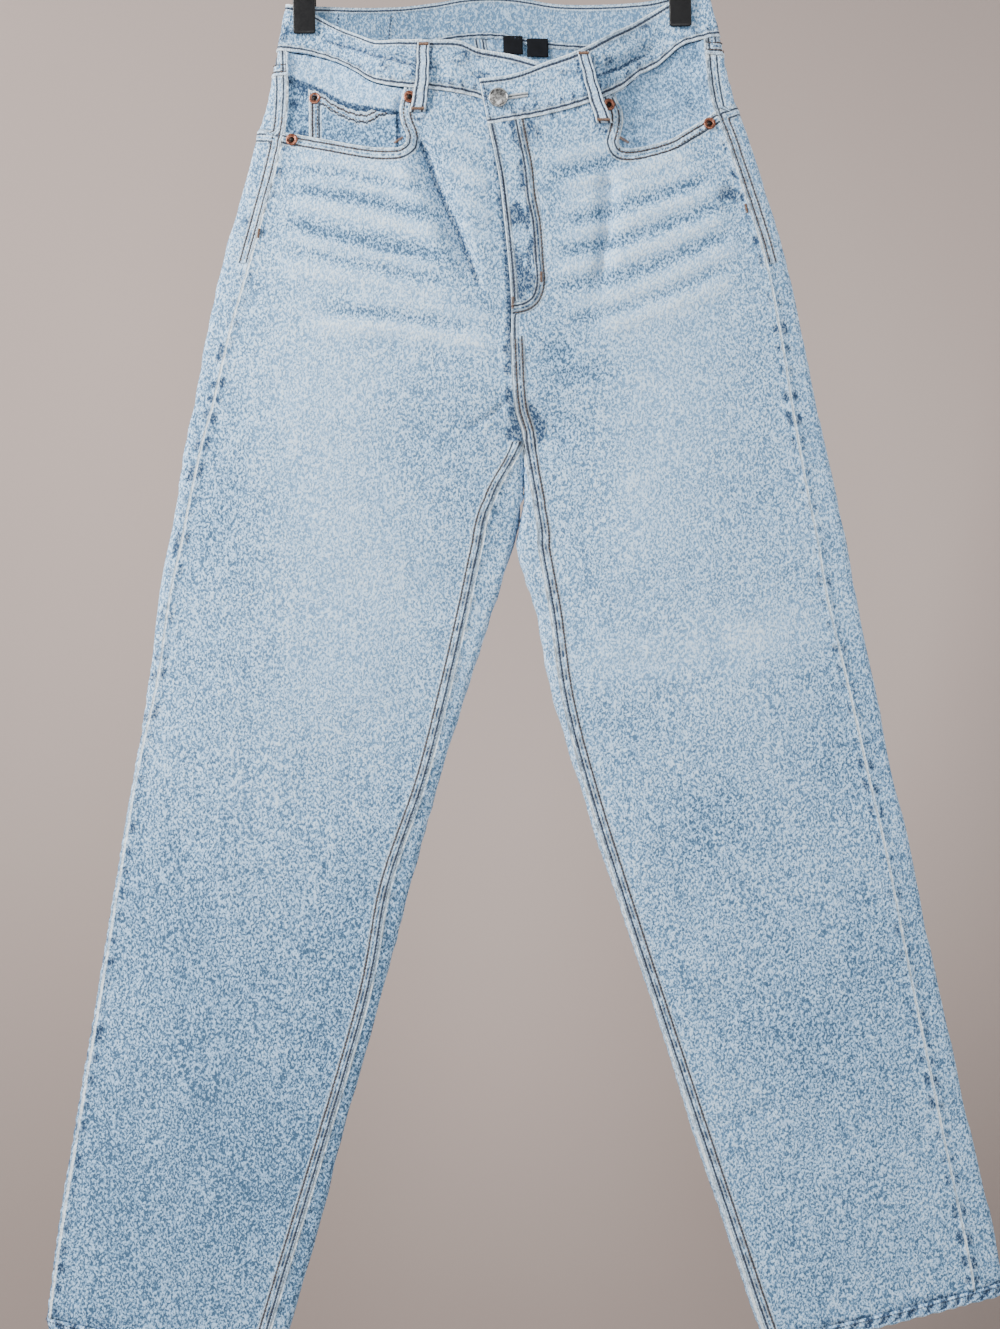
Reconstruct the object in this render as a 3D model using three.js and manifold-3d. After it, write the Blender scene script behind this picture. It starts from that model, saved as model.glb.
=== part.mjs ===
// High-rise jeans hanging from a clip hanger, front towards -Y, +X to the viewer's right, +Z up.
// Millimetres. The origin is the point inside the hook that rests on a rail.
// Left and right are the viewer's, looking at the front.
import * as THREE from 'three';
import { mergeVertices } from 'three/addons/utils/BufferGeometryUtils.js';
import Module from 'manifold-3d';

const wasm = await Module();
wasm.setup();

// Driving dimensions.
const DENIM = 1.4; // one layer of denim
const BAND_WALL = 2.8; // the waistband, two layers
const SEAM_GAP = 0.3; // left between pieces that are sewn edge to edge
const HALF_GAP = SEAM_GAP / 2;
const INSEAM_HALF_GAP = 0.25;
const FOLD_RADIUS = 5; // how sharply the cloth turns at the side and inner folds
const WAIST_FOLD_RADIUS = 5.5; // the same at the lower edge of the waistband
const PINCHED_RADIUS = 3.9; // and where the clips press it
const PINCH_FROM = 0.22; // share of the waistband's height below which it opens out again
const WAIST_GAP = 0.9; // left under the waistband, whose edge is sampled at other places
const WAIST_STEP = 0.8; // the panels lie this much inside the waistband's face
const WAIST_LEAN = 0.043; // the waistband narrows upwards by this share of x
const OVERLAP_SLANT = 7; // the overlap's end leans out by this much at the top
const FRONT_BULGE = 19.5; // how far the waist stands open forwards, clear of the clips
const BACK_BULGE = 10.5; // and backwards
const WAIST_BLEND = 95; // depth below the waist over which the hips take their own form
const UNDERLAP = 22; // how far the left front runs under the fly
const UNDERLAP_DROP = 2.6; // how far it lies behind the fly there
const BAND_DROP = 3.3; // the same for the end of the waistband
const CROTCH_ROW = 6; // row of the tables below where the crotch seams meet
const LEGS_PART_ROW = 8; // the inner folds touch down to this row
const FLY_END_ROW = 3.9;
const SAG_END_ROW = 5; // the sag of the waist has faded out by this row
const HEM_ROW = 16;
const HEM_TOP_ROW = 15.36;
const LEG_GAP = 0.25; // each inner fold keeps this far from the line where the legs touch
const FULLNESS = 0.8; // below 1 the sections are fuller than a parabola
const BAND_CREASE = 2.2; // depth of the crease along the middle of each side of the waistband

// One row for each height, from the waist seam to the hem: the outer and inner fold of the hanging
// cloth, how far the side seam and the inseam lie from those folds on the front, and how far the
// front and the back stand out from the middle.
const HALF_COLUMNS = ['outX', 'outZ', 'inX', 'inZ', 'side', 'inseam', 'front', 'back'];
const OUT_X = HALF_COLUMNS.indexOf('outX');
const OUT_Z = HALF_COLUMNS.indexOf('outZ');
const IN_X = HALF_COLUMNS.indexOf('inX');
const IN_Z = HALF_COLUMNS.indexOf('inZ');
const LEFT_HALF = [
  [-183, -131, -8, -141, 8, 0, 22, 15],
  [-192, -171, -2, -181, 17, 0, 22, 17],
  [-205, -213, 2, -222, 24, 0, 21, 19],
  [-231, -304, 8, -313, 24, 0, 20, 20],
  [-246, -362, 8, -371, 21, 0, 18, 19],
  [-258, -421, 10, -429, 18, 0, 16, 17],
  [-267, -459, 17, -460, 16, 0, 14, 15],
  [-275, -504, 16, -510, 13, 24, 13, 14],
  [-282, -542, 8, -547, 12, 27, 13, 14],
  [-292, -588, -11, -603, 11, 21, 12, 13],
  [-301, -654, -36, -674, 9, 14, 12, 13],
  [-312, -721, -59, -745, 4, 11, 12, 13],
  [-328, -804, -85, -832, 4, 16, 12, 13],
  [-346, -904, -114, -935, 4, 10, 12, 13],
  [-383, -1105, -176, -1145, 4, 15, 11, 12],
  [-395, -1177, -200, -1220, 4, 15, 11, 12],
  [-394, -1195, -205, -1237, 4, 15, 11, 12],
];
const RIGHT_HALF = [
  [187, -126, -8, -141, 13, 0, 22, 15],
  [199, -179, -2, -181, 20, 0, 22, 17],
  [214, -221, 2, -222, 21, 0, 21, 19],
  [238, -313, 8, -313, 18, 0, 20, 20],
  [251, -372, 8, -371, 20, 0, 18, 19],
  [262, -431, 10, -429, 22, 0, 16, 17],
  [268, -460, 17, -460, 24, 0, 14, 15],
  [278, -515, 16, -510, 25, 8, 13, 14],
  [285, -553, 8, -547, 25, 19, 13, 14],
  [293, -599, 23, -604, 26, 13, 12, 13],
  [306, -666, 37, -676, 24, 8, 12, 13],
  [318, -733, 57, -748, 22, 5, 12, 13],
  [335, -817, 85, -837, 22, 3, 12, 13],
  [354, -918, 117, -942, 23, 3, 12, 13],
  [395, -1120, 184, -1156, 26, 3, 11, 12],
  [403.5, -1165, 201, -1209, 27, 3, 11, 12],
  [404, -1180, 205, -1224, 27, 3, 11, 12],
];

// The waistband's lower and upper edge, z against x. The front sags between the clips, and its two
// halves lie at different heights where they are buttoned.
const BAND_COLUMNS = ['x', 'bottom', 'top'];
const BOTTOM = BAND_COLUMNS.indexOf('bottom');
const TOP = BAND_COLUMNS.indexOf('top');
const BAND_RIGHT = [
  [-8, -202, -165], [13, -199, -162], [40, -195, -153], [75, -186, -141], [103, -173, -125],
  [118, -160, -117], [134, -151, -107], [154, -134, -96], [170, -129, -90], [187, -126, -86],
];
const BAND_LEFT = [
  [-183, -131, -92], [-168, -133, -96], [-155, -135, -103], [-134, -142, -115], [-118, -152, -123],
  [-103, -163, -130], [-83, -169, -131], [-57, -172, -132], [-31, -176, -133], [-16, -179, -139],
  [1, -186, -142], [16, -191, -145], [36, -196, -151],
];
const BAND_BACK = [
  [-183, -131, -92], [-160, -131, -93], [-126, -129, -94], [-87, -126, -92], [-55, -123, -88],
  [-28, -119, -84], [2, -119, -83], [29, -125, -86], [55, -129, -91], [92, -132, -94],
  [134, -132, -94], [160, -128, -89], [187, -126, -86],
];

// The largest soft folds: a line from one place to another, its depth and its half width.
const FOLDS = {
  front: [
    { from: [-71, -226], to: [-12, -352], depth: 4.5, width: 9 },
    { from: [94, -228], to: [80, -352], depth: 3, width: 11 },
  ],
  back: [
    { from: [-40, -404], to: [-170, -436], depth: 4, width: 12 },
    { from: [64, -408], to: [190, -440], depth: 3.5, width: 13 },
  ],
};

const { lerp, smoothstep, degToRad } = THREE.MathUtils;

// A smooth curve through a short table: one value of one column at row q.
function columnAt(table, column, q) {
  const last = table.length - 1;
  const i = Math.min(Math.floor(q), last - 1);
  const t = q - i;
  const value = (k) => table[Math.min(Math.max(k, 0), last)][column];
  const [a, b, c, d] = [value(i - 1), value(i), value(i + 1), value(i + 2)];
  return 0.5 * (2 * b + (c - a) * t + (2 * a - 5 * b + 4 * c - d) * t * t
    + (3 * b - a - 3 * c + d) * t * t * t);
}

// The same through points that lie unevenly along x.
function heightAt(table, column, x) {
  const last = table.length - 1;
  let i = 0;
  while (i < last - 1 && table[i + 1][0] < x) i += 1;
  const slope = (k) => {
    const a = table[Math.max(k - 1, 0)];
    const b = table[Math.min(k + 1, last)];
    return (b[column] - a[column]) / (b[0] - a[0]);
  };
  const span = table[i + 1][0] - table[i][0];
  const t = THREE.MathUtils.clamp((x - table[i][0]) / span, 0, 1);
  const t2 = t * t;
  const t3 = t2 * t;
  return (2 * t3 - 3 * t2 + 1) * table[i][column] + (t3 - 2 * t2 + t) * span * slope(i)
    + (3 * t2 - 2 * t3) * table[i + 1][column] + (t3 - t2) * span * slope(i + 1);
}

function halfRow(half, q) {
  const row = {};
  HALF_COLUMNS.forEach((name, k) => { row[name] = columnAt(half.table, k, q); });
  if (q > CROTCH_ROW && q < LEGS_PART_ROW) {
    const i = Math.floor(q);
    row.inX = lerp(half.table[i][IN_X], half.table[i + 1][IN_X], q - i);
    row.inZ = lerp(half.table[i][IN_Z], half.table[i + 1][IN_Z], q - i);
  }
  if (q > CROTCH_ROW) row.inX += half.sign * LEG_GAP;
  row.inseam = q > CROTCH_ROW ? Math.max(row.inseam, 0) : 0;
  row.width = Math.hypot(row.outX - row.inX, row.outZ - row.inZ);
  return row;
}

const left = { sign: -1, table: LEFT_HALF, band: BAND_LEFT, foldX: -183, clipReach: 152 };
const right = { sign: 1, table: RIGHT_HALF, band: BAND_RIGHT, foldX: 187, clipReach: 146 };

// A quarter round that rises from 0 at the fold to 1 one radius away.
function rounding(distance, radius) {
  const t = 1 - Math.min(Math.max(distance / radius, 0), 1);
  return Math.sqrt(1 - t * t);
}

// How far the waist stands out from the middle plane at x: radius at the clips, and clear of them
// the full depth, whatever the clips do.
function waistDepth(half, face, x, radius, full) {
  const bulge = (face === 'front' ? FRONT_BULGE : BACK_BULGE) + full - radius;
  const ramp = face === 'front' ? 75 : 110;
  const outer = half.sign * x;
  return radius * rounding(Math.abs(half.foldX) - outer, radius)
    + bulge * smoothstep((half.clipReach - outer) / ramp, 0, 1);
}

function foldDepth(face, x, z) {
  let depth = 0;
  for (const fold of FOLDS[face]) {
    const [ax, az] = fold.from;
    const [bx, bz] = fold.to;
    const length = Math.hypot(bx - ax, bz - az);
    const along = ((x - ax) * (bx - ax) + (z - az) * (bz - az)) / length;
    const across = ((x - ax) * (bz - az) - (z - az) * (bx - ax)) / length;
    const taper = smoothstep(along, -8, length * 0.3) * (1 - smoothstep(along, length * 0.4, length));
    depth += fold.depth * taper * Math.exp(-((across / fold.width) ** 2));
  }
  return depth;
}

// Height of a point of the cloth: level with its row, but sagging with the waistband near the top.
function clothHeight(half, face, row, s, q) {
  const band = face === 'front' ? half.band : BAND_BACK;
  const level = lerp(row.inZ, row.outZ, s);
  const first = half.table[0];
  const firstX = lerp(first[IN_X], first[OUT_X], s);
  const firstLevel = lerp(first[IN_Z], first[OUT_Z], s);
  const sag = heightAt(band, BOTTOM, firstX) - WAIST_GAP - firstLevel;
  return level + sag * (1 - lerp(Math.min(q / SAG_END_ROW, 1), smoothstep(q, 0, SAG_END_ROW), 0.5));
}

// A point of the outer face. reach runs along the front from the inner fold (0) to the outer fold
// (the row's width) and back along the back to twice the width.
function clothPoint(half, reach, q) {
  const row = halfRow(half, q);
  const around = q > CROTCH_ROW && reach > 2 * row.width ? reach - 2 * row.width : reach;
  const wrapped = q > CROTCH_ROW && around < 0 ? around + 2 * row.width : around;
  const face = wrapped <= row.width ? 'front' : 'back';
  const along = face === 'front' ? wrapped : 2 * row.width - wrapped;
  const s = along / row.width;
  const x = lerp(row.inX, row.outX, s);
  const z = clothHeight(half, face, row, s, q);
  const above = q < CROTCH_ROW ? row.inZ - half.table[CROTCH_ROW][IN_Z] : 0;
  const toInner = Math.hypot(Math.max(along, 0), above);
  const toOuter = row.width - along;
  const legShare = smoothstep(q, 4.4, CROTCH_ROW);
  const inside = Math.min(Math.max(s, 0), 1);
  const hip = (1 - inside * inside) ** FULLNESS;
  const leg = (4 * inside * (1 - inside)) ** FULLNESS;
  const depth = face === 'front' ? row.front : row.back;
  let out = FOLD_RADIUS * rounding(toInner, FOLD_RADIUS) * rounding(toOuter, FOLD_RADIUS)
    + (depth - FOLD_RADIUS) * lerp(hip, leg, legShare);
  const drop = half.table[0][OUT_Z] - row.outZ;
  const waistShare = 1 - smoothstep(drop, 0, WAIST_BLEND);
  if (waistShare > 0) {
    const firstX = lerp(half.table[0][IN_X], half.table[0][OUT_X], s);
    const radius = WAIST_FOLD_RADIUS - WAIST_STEP;
    const waist = waistDepth(half, face, firstX, radius, radius);
    out = lerp(out, waist, waistShare);
  }
  const edge = rounding(Math.min(toInner, toOuter), 40);
  out -= foldDepth(face, x, z) * edge;
  if (half === left && face === 'front' && q < FLY_END_ROW + 0.4) {
    const under = 1 - smoothstep(along, 6, 30);
    out -= UNDERLAP_DROP * under * (1 - smoothstep(q, FLY_END_ROW - 0.9, FLY_END_ROW + 0.4));
  }
  return new THREE.Vector3(x, face === 'front' ? -out : out, z);
}

// A point of the cloth with its outward direction, moved out by lift.
function clothNode(half, reach, q, lift = 0) {
  const step = 0.4;
  const width = halfRow(half, q).width;
  const closed = q > CROTCH_ROW;
  const onFront = reach <= width;
  const low = closed || reach > step || onFront ? reach - step : reach;
  const high = closed ? reach + step : Math.min(reach + step, 2 * width);
  const up = Math.max(q - 0.01, 0);
  const down = Math.min(q + 0.01, HEM_ROW);
  const across = clothPoint(half, high, q).sub(clothPoint(half, low, q));
  const below = clothPoint(half, (reach / width) * halfRow(half, down).width, down);
  const over = clothPoint(half, (reach / width) * halfRow(half, up).width, up);
  const normal = across.cross(below.sub(over)).normalize().multiplyScalar(-half.sign);
  if (!closed && (reach < 1 || reach > 2 * width - 1)) {
    const run = below.clone().sub(over);
    normal.set(0, run.z, -run.y).normalize();
    if (onFront === normal.y > 0) normal.negate();
  }
  const point = clothPoint(half, reach, q).addScaledVector(normal, lift);
  return { point, normal };
}

// The same for a place given by x and z on one face.
function placeOn(half, face, x, z) {
  let low = 0;
  let high = HEM_ROW;
  for (let i = 0; i < 30; i += 1) {
    const q = (low + high) / 2;
    const row = halfRow(half, q);
    const s = (x - row.inX) / (row.outX - row.inX);
    if (clothHeight(half, face, row, s, q) > z) low = q;
    else high = q;
  }
  const row = halfRow(half, low);
  const along = ((x - row.inX) / (row.outX - row.inX)) * row.width;
  return { q: low, reach: face === 'front' ? along : 2 * row.width - along };
}

function clothAt(half, face, x, z, lift = 0) {
  const place = placeOn(half, face, x, z);
  return clothNode(half, place.reach, place.q, lift);
}

// A closed wall: the grid of outer points, the same moved in by the wall, and its edges.
function wallSolid(grid, wall, wrap = false) {
  const rows = grid.length;
  const columns = grid[0].length;
  const positions = [];
  for (const depth of [0, wall]) {
    for (const line of grid) {
      for (const { point, normal } of line) {
        positions.push(...point.clone().addScaledVector(normal, -depth).toArray());
      }
    }
  }
  const id = (layer, i, j) => layer * rows * columns + i * columns + (j % columns);
  const faces = [];
  const quad = (a, b, c, d) => faces.push(a, b, c, a, c, d);
  const spans = wrap ? columns : columns - 1;
  for (let i = 0; i < rows - 1; i += 1) {
    for (let j = 0; j < spans; j += 1) {
      quad(id(0, i, j), id(0, i, j + 1), id(0, i + 1, j + 1), id(0, i + 1, j));
      quad(id(1, i, j), id(1, i + 1, j), id(1, i + 1, j + 1), id(1, i, j + 1));
    }
  }
  for (let j = 0; j < spans; j += 1) {
    quad(id(0, 0, j + 1), id(0, 0, j), id(1, 0, j), id(1, 0, j + 1));
    quad(id(0, rows - 1, j), id(0, rows - 1, j + 1), id(1, rows - 1, j + 1), id(1, rows - 1, j));
  }
  if (!wrap) {
    for (let i = 0; i < rows - 1; i += 1) {
      quad(id(0, i, 0), id(0, i + 1, 0), id(1, i + 1, 0), id(1, i, 0));
      quad(id(0, i + 1, columns - 1), id(0, i, columns - 1), id(1, i, columns - 1),
        id(1, i + 1, columns - 1));
    }
  }
  return facingOut(positions, faces);
}

function facingOut(positions, faces) {
  const corner = (k) => new THREE.Vector3().fromArray(positions, 3 * k);
  let volume = 0;
  for (let k = 0; k < faces.length; k += 3) {
    volume += corner(faces[k]).dot(corner(faces[k + 1]).cross(corner(faces[k + 2])));
  }
  if (volume < 0) faces.reverse();
  const geometry = new THREE.BufferGeometry();
  geometry.setAttribute('position', new THREE.Float32BufferAttribute(positions, 3));
  geometry.setIndex(faces);
  return geometry;
}

function spread(from, to, count) {
  return Array.from({ length: count + 1 }, (unused, i) => lerp(from, to, i / count));
}

const group = new THREE.Group();

function add(name, geometry, look) {
  const mesh = new THREE.Mesh(geometry, new THREE.MeshStandardMaterial(look));
  mesh.name = name;
  group.add(mesh);
  return mesh;
}

const denim = { color: 0xb9cfe0, roughness: 0.9, metalness: 0 };
const darkDenim = { color: 0x8fadc8, roughness: 0.9, metalness: 0 };
const hemDenim = { color: 0xa9c2d8, roughness: 0.9, metalness: 0 };
const patchLook = { color: 0x9dbbd6, roughness: 0.8, metalness: 0 };
const labelLook = { color: 0x15161a, roughness: 0.85, metalness: 0 };
const copper = { color: 0xa7653f, roughness: 0.4, metalness: 1 };
const silver = { color: 0xb9bcc0, roughness: 0.3, metalness: 1 };
const blackPlastic = { color: 0x101113, roughness: 0.45, metalness: 0 };
const steel = { color: 0xaeb2b8, roughness: 0.25, metalness: 1 };

// Booleans on closed solids.
function toSolid(geometry) {
  const bare = geometry.clone();
  bare.deleteAttribute('normal');
  bare.deleteAttribute('uv');
  const merged = mergeVertices(bare, 1e-4);
  return new wasm.Manifold(new wasm.Mesh({
    numProp: 3,
    vertProperties: merged.attributes.position.array,
    triVerts: new Uint32Array(merged.index.array),
  }));
}

function fromSolid(solid) {
  const mesh = solid.getMesh();
  const geometry = new THREE.BufferGeometry();
  geometry.setAttribute('position', new THREE.BufferAttribute(mesh.vertProperties, 3));
  geometry.setIndex(new THREE.BufferAttribute(mesh.triVerts, 1));
  return geometry;
}

// An upright prism: an outline in x and z, running from y = front to y = back.
function prism(outline, front, back) {
  const shape = new THREE.Shape(outline.map(([x, z]) => new THREE.Vector2(x, z)));
  const geometry = new THREE.ExtrudeGeometry(shape, { depth: back - front, bevelEnabled: false });
  return geometry.rotateX(Math.PI / 2).translate(0, back, 0);
}

function cut(geometry, ...tools) {
  return fromSolid(tools.reduce((solid, tool) => solid.subtract(toSolid(tool)), toSolid(geometry)));
}

// Front panels, from the inner edge to the side seam, with the pocket mouth cut out.
const SEAM_STEP = 0.012; // one seam gap, as a share of a row
const LOWER_ROWS = [2.6, 3, 3.4, 3.8, 4.3, 4.8, 5.3, 5.7, 6, 6.25, 6.6, 7, 7.5, 8, 9, 10, 11, 12,
  13, 13.5, 14, 14.6, HEM_TOP_ROW - SEAM_STEP * 2];
const FRONT_ROWS = [0, 0.35, 0.7, 1, 1.3, 1.6, 2, 2.3, ...LOWER_ROWS];
const FRONT_COLUMNS = 13;

function innerEdge(half, q) {
  if (half === left && q < FLY_END_ROW) {
    return HALF_GAP - UNDERLAP * (1 - smoothstep(q, 0.5, FLY_END_ROW));
  }
  return halfRow(half, q).inseam + INSEAM_HALF_GAP;
}

function frontPanel(half, mouth) {
  const grid = FRONT_ROWS.map((q) => {
    const row = halfRow(half, q);
    return spread(innerEdge(half, q), row.width - row.side - HALF_GAP, FRONT_COLUMNS)
      .map((reach) => clothNode(half, reach, q));
  });
  return cut(wallSolid(grid, DENIM), prism(mouth, -60, 40));
}

// Pocket mouths, as seen from the front: down beside the belt loop, round the corner and out to
// the side seam, then closed over the waistband.
const MOUTH_LEFT = [[-75, -150], [-77, -171], [-80.5, -186], [-79.5, -199], [-75, -211], [-79, -217],
  [-88, -219], [-104, -217.5], [-124, -213.5], [-150, -207.5], [-182, -200.5], [-215, -196],
  [-215, -110], [-120, -110]];
const MOUTH_RIGHT = [[94, -150], [97, -178], [102.5, -190], [103.5, -200], [101.5, -210],
  [98.5, -218], [104, -222.5], [120, -221], [143, -214.5], [156, -207], [170, -198.5],
  [186, -189], [222, -176], [222, -100], [120, -100]];

add('front_left', frontPanel(left, MOUTH_LEFT), denim);
add('front_right', frontPanel(right, MOUTH_RIGHT), denim);

// Pocket facings: the denim that shows inside each mouth, behind the front.
const FACING_ROWS = spread(0, 1, 7);
const FACING_WALL = 1;
const LAYER_GAP = 0.45; // left between the front and what lies behind it
const COIN_LIFT = -(DENIM + LAYER_GAP);
const COIN_WALL = 1;
const LEFT_FACING = { lift: COIN_LIFT - COIN_WALL - SEAM_GAP, reach: 114, lastRow: 1.75 };
const RIGHT_FACING = { lift: -(DENIM + LAYER_GAP), reach: 104, lastRow: 1.75 };

function pocketFacing(half, { lift, reach: inward, lastRow }) {
  const grid = FACING_ROWS.map((f) => {
    const q = lerp(0.03, lastRow, f);
    const row = halfRow(half, q);
    const seam = row.width - row.side - HALF_GAP - 2;
    return spread(seam - inward, seam, 9).map((reach) => clothNode(half, reach, q, lift));
  });
  return wallSolid(grid, FACING_WALL);
}

add('pocket_facing_left', pocketFacing(left, LEFT_FACING), darkDenim);
add('pocket_facing_right', pocketFacing(right, RIGHT_FACING), darkDenim);

// Coin pocket, on the left facing: its upper edge dips in the middle.
const COIN_TOP = [[-157, -164.5], [-146, -168.5], [-137, -175.5], [-121, -184.5], [-107, -187.5],
  [-98, -183], [-84, -182]];
const COIN_FLOOR = -228;

function coinPocket() {
  const columns = spread(COIN_TOP[0][0], COIN_TOP.at(-1)[0], 9);
  const grid = spread(0, 1, 4).map((f) => columns.map((x) => {
    const z = lerp(heightAt(COIN_TOP, 1, x), COIN_FLOOR, f);
    return clothAt(left, 'front', x, z, COIN_LIFT);
  }));
  return wallSolid(grid, COIN_WALL);
}

add('coin_pocket', coinPocket(), darkDenim);

// Back panels and yokes run from the side seam on the front, round the outer fold and over the
// back to the middle, and below the crotch on round the inner fold to the inseam.
const FOLD_STEPS = [1, 4 / 9, 1 / 9, 0];
const BACK_TURN = [0.8, 3.2, 7];
const TAIL = 8;

function backReaches(half, q) {
  const row = halfRow(half, q);
  const side = row.side - HALF_GAP;
  const places = FOLD_STEPS.map((share) => row.width - side * share);
  places.push(...BACK_TURN.map((step) => row.width + step));
  const from = row.width + BACK_TURN.at(-1);
  const to = 2 * row.width - TAIL;
  places.push(...spread(from, to, 7).slice(1));
  if (q <= CROTCH_ROW) {
    places.push(...spread(to, 2 * row.width - HALF_GAP, 6).slice(1));
  } else {
    places.push(...FOLD_STEPS.slice(1).map((share) => 2 * row.width - TAIL * share));
    const wrap = row.inseam - INSEAM_HALF_GAP;
    places.push(...[1 / 9, 4 / 9, 1].map((share) => 2 * row.width + wrap * share));
  }
  return places;
}

// The yoke seam runs lower towards the middle of the back.
function yokeSeam(half, share) {
  const atSide = half === left ? 0.56 : 0.32;
  return lerp(atSide, 1.5, smoothstep(share, 0.05, 1) * 0.4 + share * 0.6);
}

function backPanel(half) {
  const columns = backReaches(half, 2).length;
  const upper = spread(0, 1, 3).slice(0, -1).map((f) => Array.from({ length: columns }, (unused, j) => {
    const q = lerp(yokeSeam(half, j / (columns - 1)) + SEAM_STEP, LOWER_ROWS[0], f);
    return clothNode(half, backReaches(half, q)[j], q);
  }));
  const lower = LOWER_ROWS.map((q) => backReaches(half, q).map((reach) => clothNode(half, reach, q)));
  return wallSolid([...upper, ...lower], DENIM);
}

function yoke(half) {
  const columns = backReaches(half, 0).length;
  const grid = spread(0, 1, 3).map((f) => Array.from({ length: columns }, (unused, j) => {
    const q = f * yokeSeam(half, j / (columns - 1));
    return clothNode(half, backReaches(half, q)[j], q);
  }));
  return wallSolid(grid, DENIM);
}

add('back_left', backPanel(left), denim);
add('back_right', backPanel(right), denim);
add('yoke_left', yoke(left), denim);
add('yoke_right', yoke(right), denim);

// Hems: a turned-up edge all round each leg.
const HEM_WALL = 2.6;
const HEM_LIFT = 0.5;

function hem(half) {
  const grid = spread(HEM_TOP_ROW, HEM_ROW, 2).map((q) => {
    const width = halfRow(half, q).width;
    const turn = [0, 0.8, 3.2, 7];
    const face = [...turn, ...spread(7, width - 7, 7).slice(1, -1),
      ...turn.toReversed().map((step) => width - step)];
    const places = [...face.slice(0, -1), ...face.slice(0, -1).map((place) => place + width)];
    return places.map((reach) => clothNode(half, reach, q, HEM_LIFT));
  });
  return wallSolid(grid, HEM_WALL, true);
}

add('hem_left', hem(left), hemDenim);
add('hem_right', hem(right), hemDenim);

// Waistband: from the buttonhole end over the right side, the back and the left side to the end
// that lies under the buttonhole.
function pinchedRadius(k) {
  return lerp(PINCHED_RADIUS, WAIST_FOLD_RADIUS, Math.max(0, 1 - k / PINCH_FROM));
}

// The crease runs between the clip and the belt loop, half-way up the waistband.
function creaseDepth(half, x, k) {
  const outer = half.sign * x;
  const window = smoothstep(outer, 88, 108) * (1 - smoothstep(outer, 128, 146));
  return BAND_CREASE * window * Math.max(0, 1 - Math.abs(k - 0.5) / 0.28);
}

function bandPoint(half, face, x, k) {
  const table = face === 'front' ? half.band : BAND_BACK;
  const radius = pinchedRadius(k);
  let out = waistDepth(half, face, x, radius, WAIST_FOLD_RADIUS);
  if (face === 'front') out -= creaseDepth(half, x, k);
  let shownX = x * (1 - WAIST_LEAN * k);
  if (face === 'front' && half === left) {
    out -= BAND_DROP * (1 - smoothstep(BAND_RIGHT[0][0] - x, 6, 30));
  }
  if (face === 'front' && half === right) {
    shownX -= OVERLAP_SLANT * k * (1 - smoothstep(x - BAND_RIGHT[0][0], 0, 30));
  }
  const z = lerp(heightAt(table, BOTTOM, x), heightAt(table, TOP, x), k);
  return new THREE.Vector3(shownX, face === 'front' ? -out : out, z);
}

function bandPlaces() {
  const turn = [0, 0.7, 2.8, 6.5, 12];
  const places = [];
  const put = (half, face, xs) => xs.forEach((x) => places.push({ half, face, x }));
  const rightTurn = turn.map((step) => right.foldX - step);
  const leftTurn = turn.map((step) => left.foldX + step);
  put(right, 'front', [...spread(BAND_RIGHT[0][0], right.foldX - 12, 12), ...rightTurn.toReversed().slice(1)]);
  put(right, 'back', [...rightTurn.slice(1), ...spread(right.foldX - 12, 2, 8).slice(1)]);
  put(left, 'back', [...spread(2, left.foldX + 12, 8).slice(1), ...leftTurn.toReversed().slice(1)]);
  put(left, 'front', [...leftTurn.slice(1), ...spread(left.foldX + 12, BAND_LEFT.at(-1)[0], 15).slice(1)]);
  return places;
}

function bandGrid(places, shares) {
  const points = shares.map((k) => places.map((p) => bandPoint(p.half, p.face, p.x, k)));
  const last = places.length - 1;
  return points.map((line, i) => line.map((point, j) => {
    const across = line[Math.min(j + 1, last)].clone().sub(line[Math.max(j - 1, 0)]);
    const upper = points[Math.min(i + 1, shares.length - 1)][j];
    const along = upper.clone().sub(points[Math.max(i - 1, 0)][j]);
    return { point, normal: across.cross(along).normalize() };
  }));
}

// The buttonhole is a slit with a round eye for the button's shank.
const BUTTON = { x: 1, z: -181 };
const EYE_RADIUS = 3.2;
const SLIT = { end: 26, half: 1, rise: 2.4 };
const OVERLAP_FACE = -(WAIST_FOLD_RADIUS + FRONT_BULGE); // the front face of the buttonhole end
const UNDERLAP_FACE = OVERLAP_FACE + BAND_DROP;

function buttonhole() {
  const outline = spread(20, 340, 12).map((angle) => {
    const a = degToRad(angle);
    return [BUTTON.x + EYE_RADIUS * Math.cos(a), BUTTON.z + EYE_RADIUS * Math.sin(a)];
  });
  outline.push([SLIT.end, BUTTON.z + SLIT.rise - SLIT.half], [SLIT.end, BUTTON.z + SLIT.rise + SLIT.half]);
  return prism(outline, OVERLAP_FACE - 5, UNDERLAP_FACE - 0.15);
}

const bandShell = wallSolid(bandGrid(bandPlaces(), [0, PINCH_FROM, 0.5, 0.78, 1]), BAND_WALL);
add('waistband', cut(bandShell, buttonhole()), denim);

// Belt loops: a strip from the waistband's upper edge to just below its seam, standing off between.
const LOOP_WIDTH = 10.3;
const LOOP_WALL = 1.5;
const LOOP_STAND = 2;
const LOOPS = [
  { name: 'belt_loop_front_left', half: left, face: 'front', top: [-59, -134], foot: [-65, -191] },
  { name: 'belt_loop_front_right', half: right, face: 'front', top: [70, -144], foot: [88, -203] },
  { name: 'belt_loop_back_left', half: left, face: 'back', top: [-81, -93], foot: [-83, -146] },
  { name: 'belt_loop_back_middle', half: right, face: 'back', top: [1, -85], foot: [1, -140] },
  { name: 'belt_loop_back_right', half: right, face: 'back', top: [81, -95], foot: [83, -152] },
];

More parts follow.
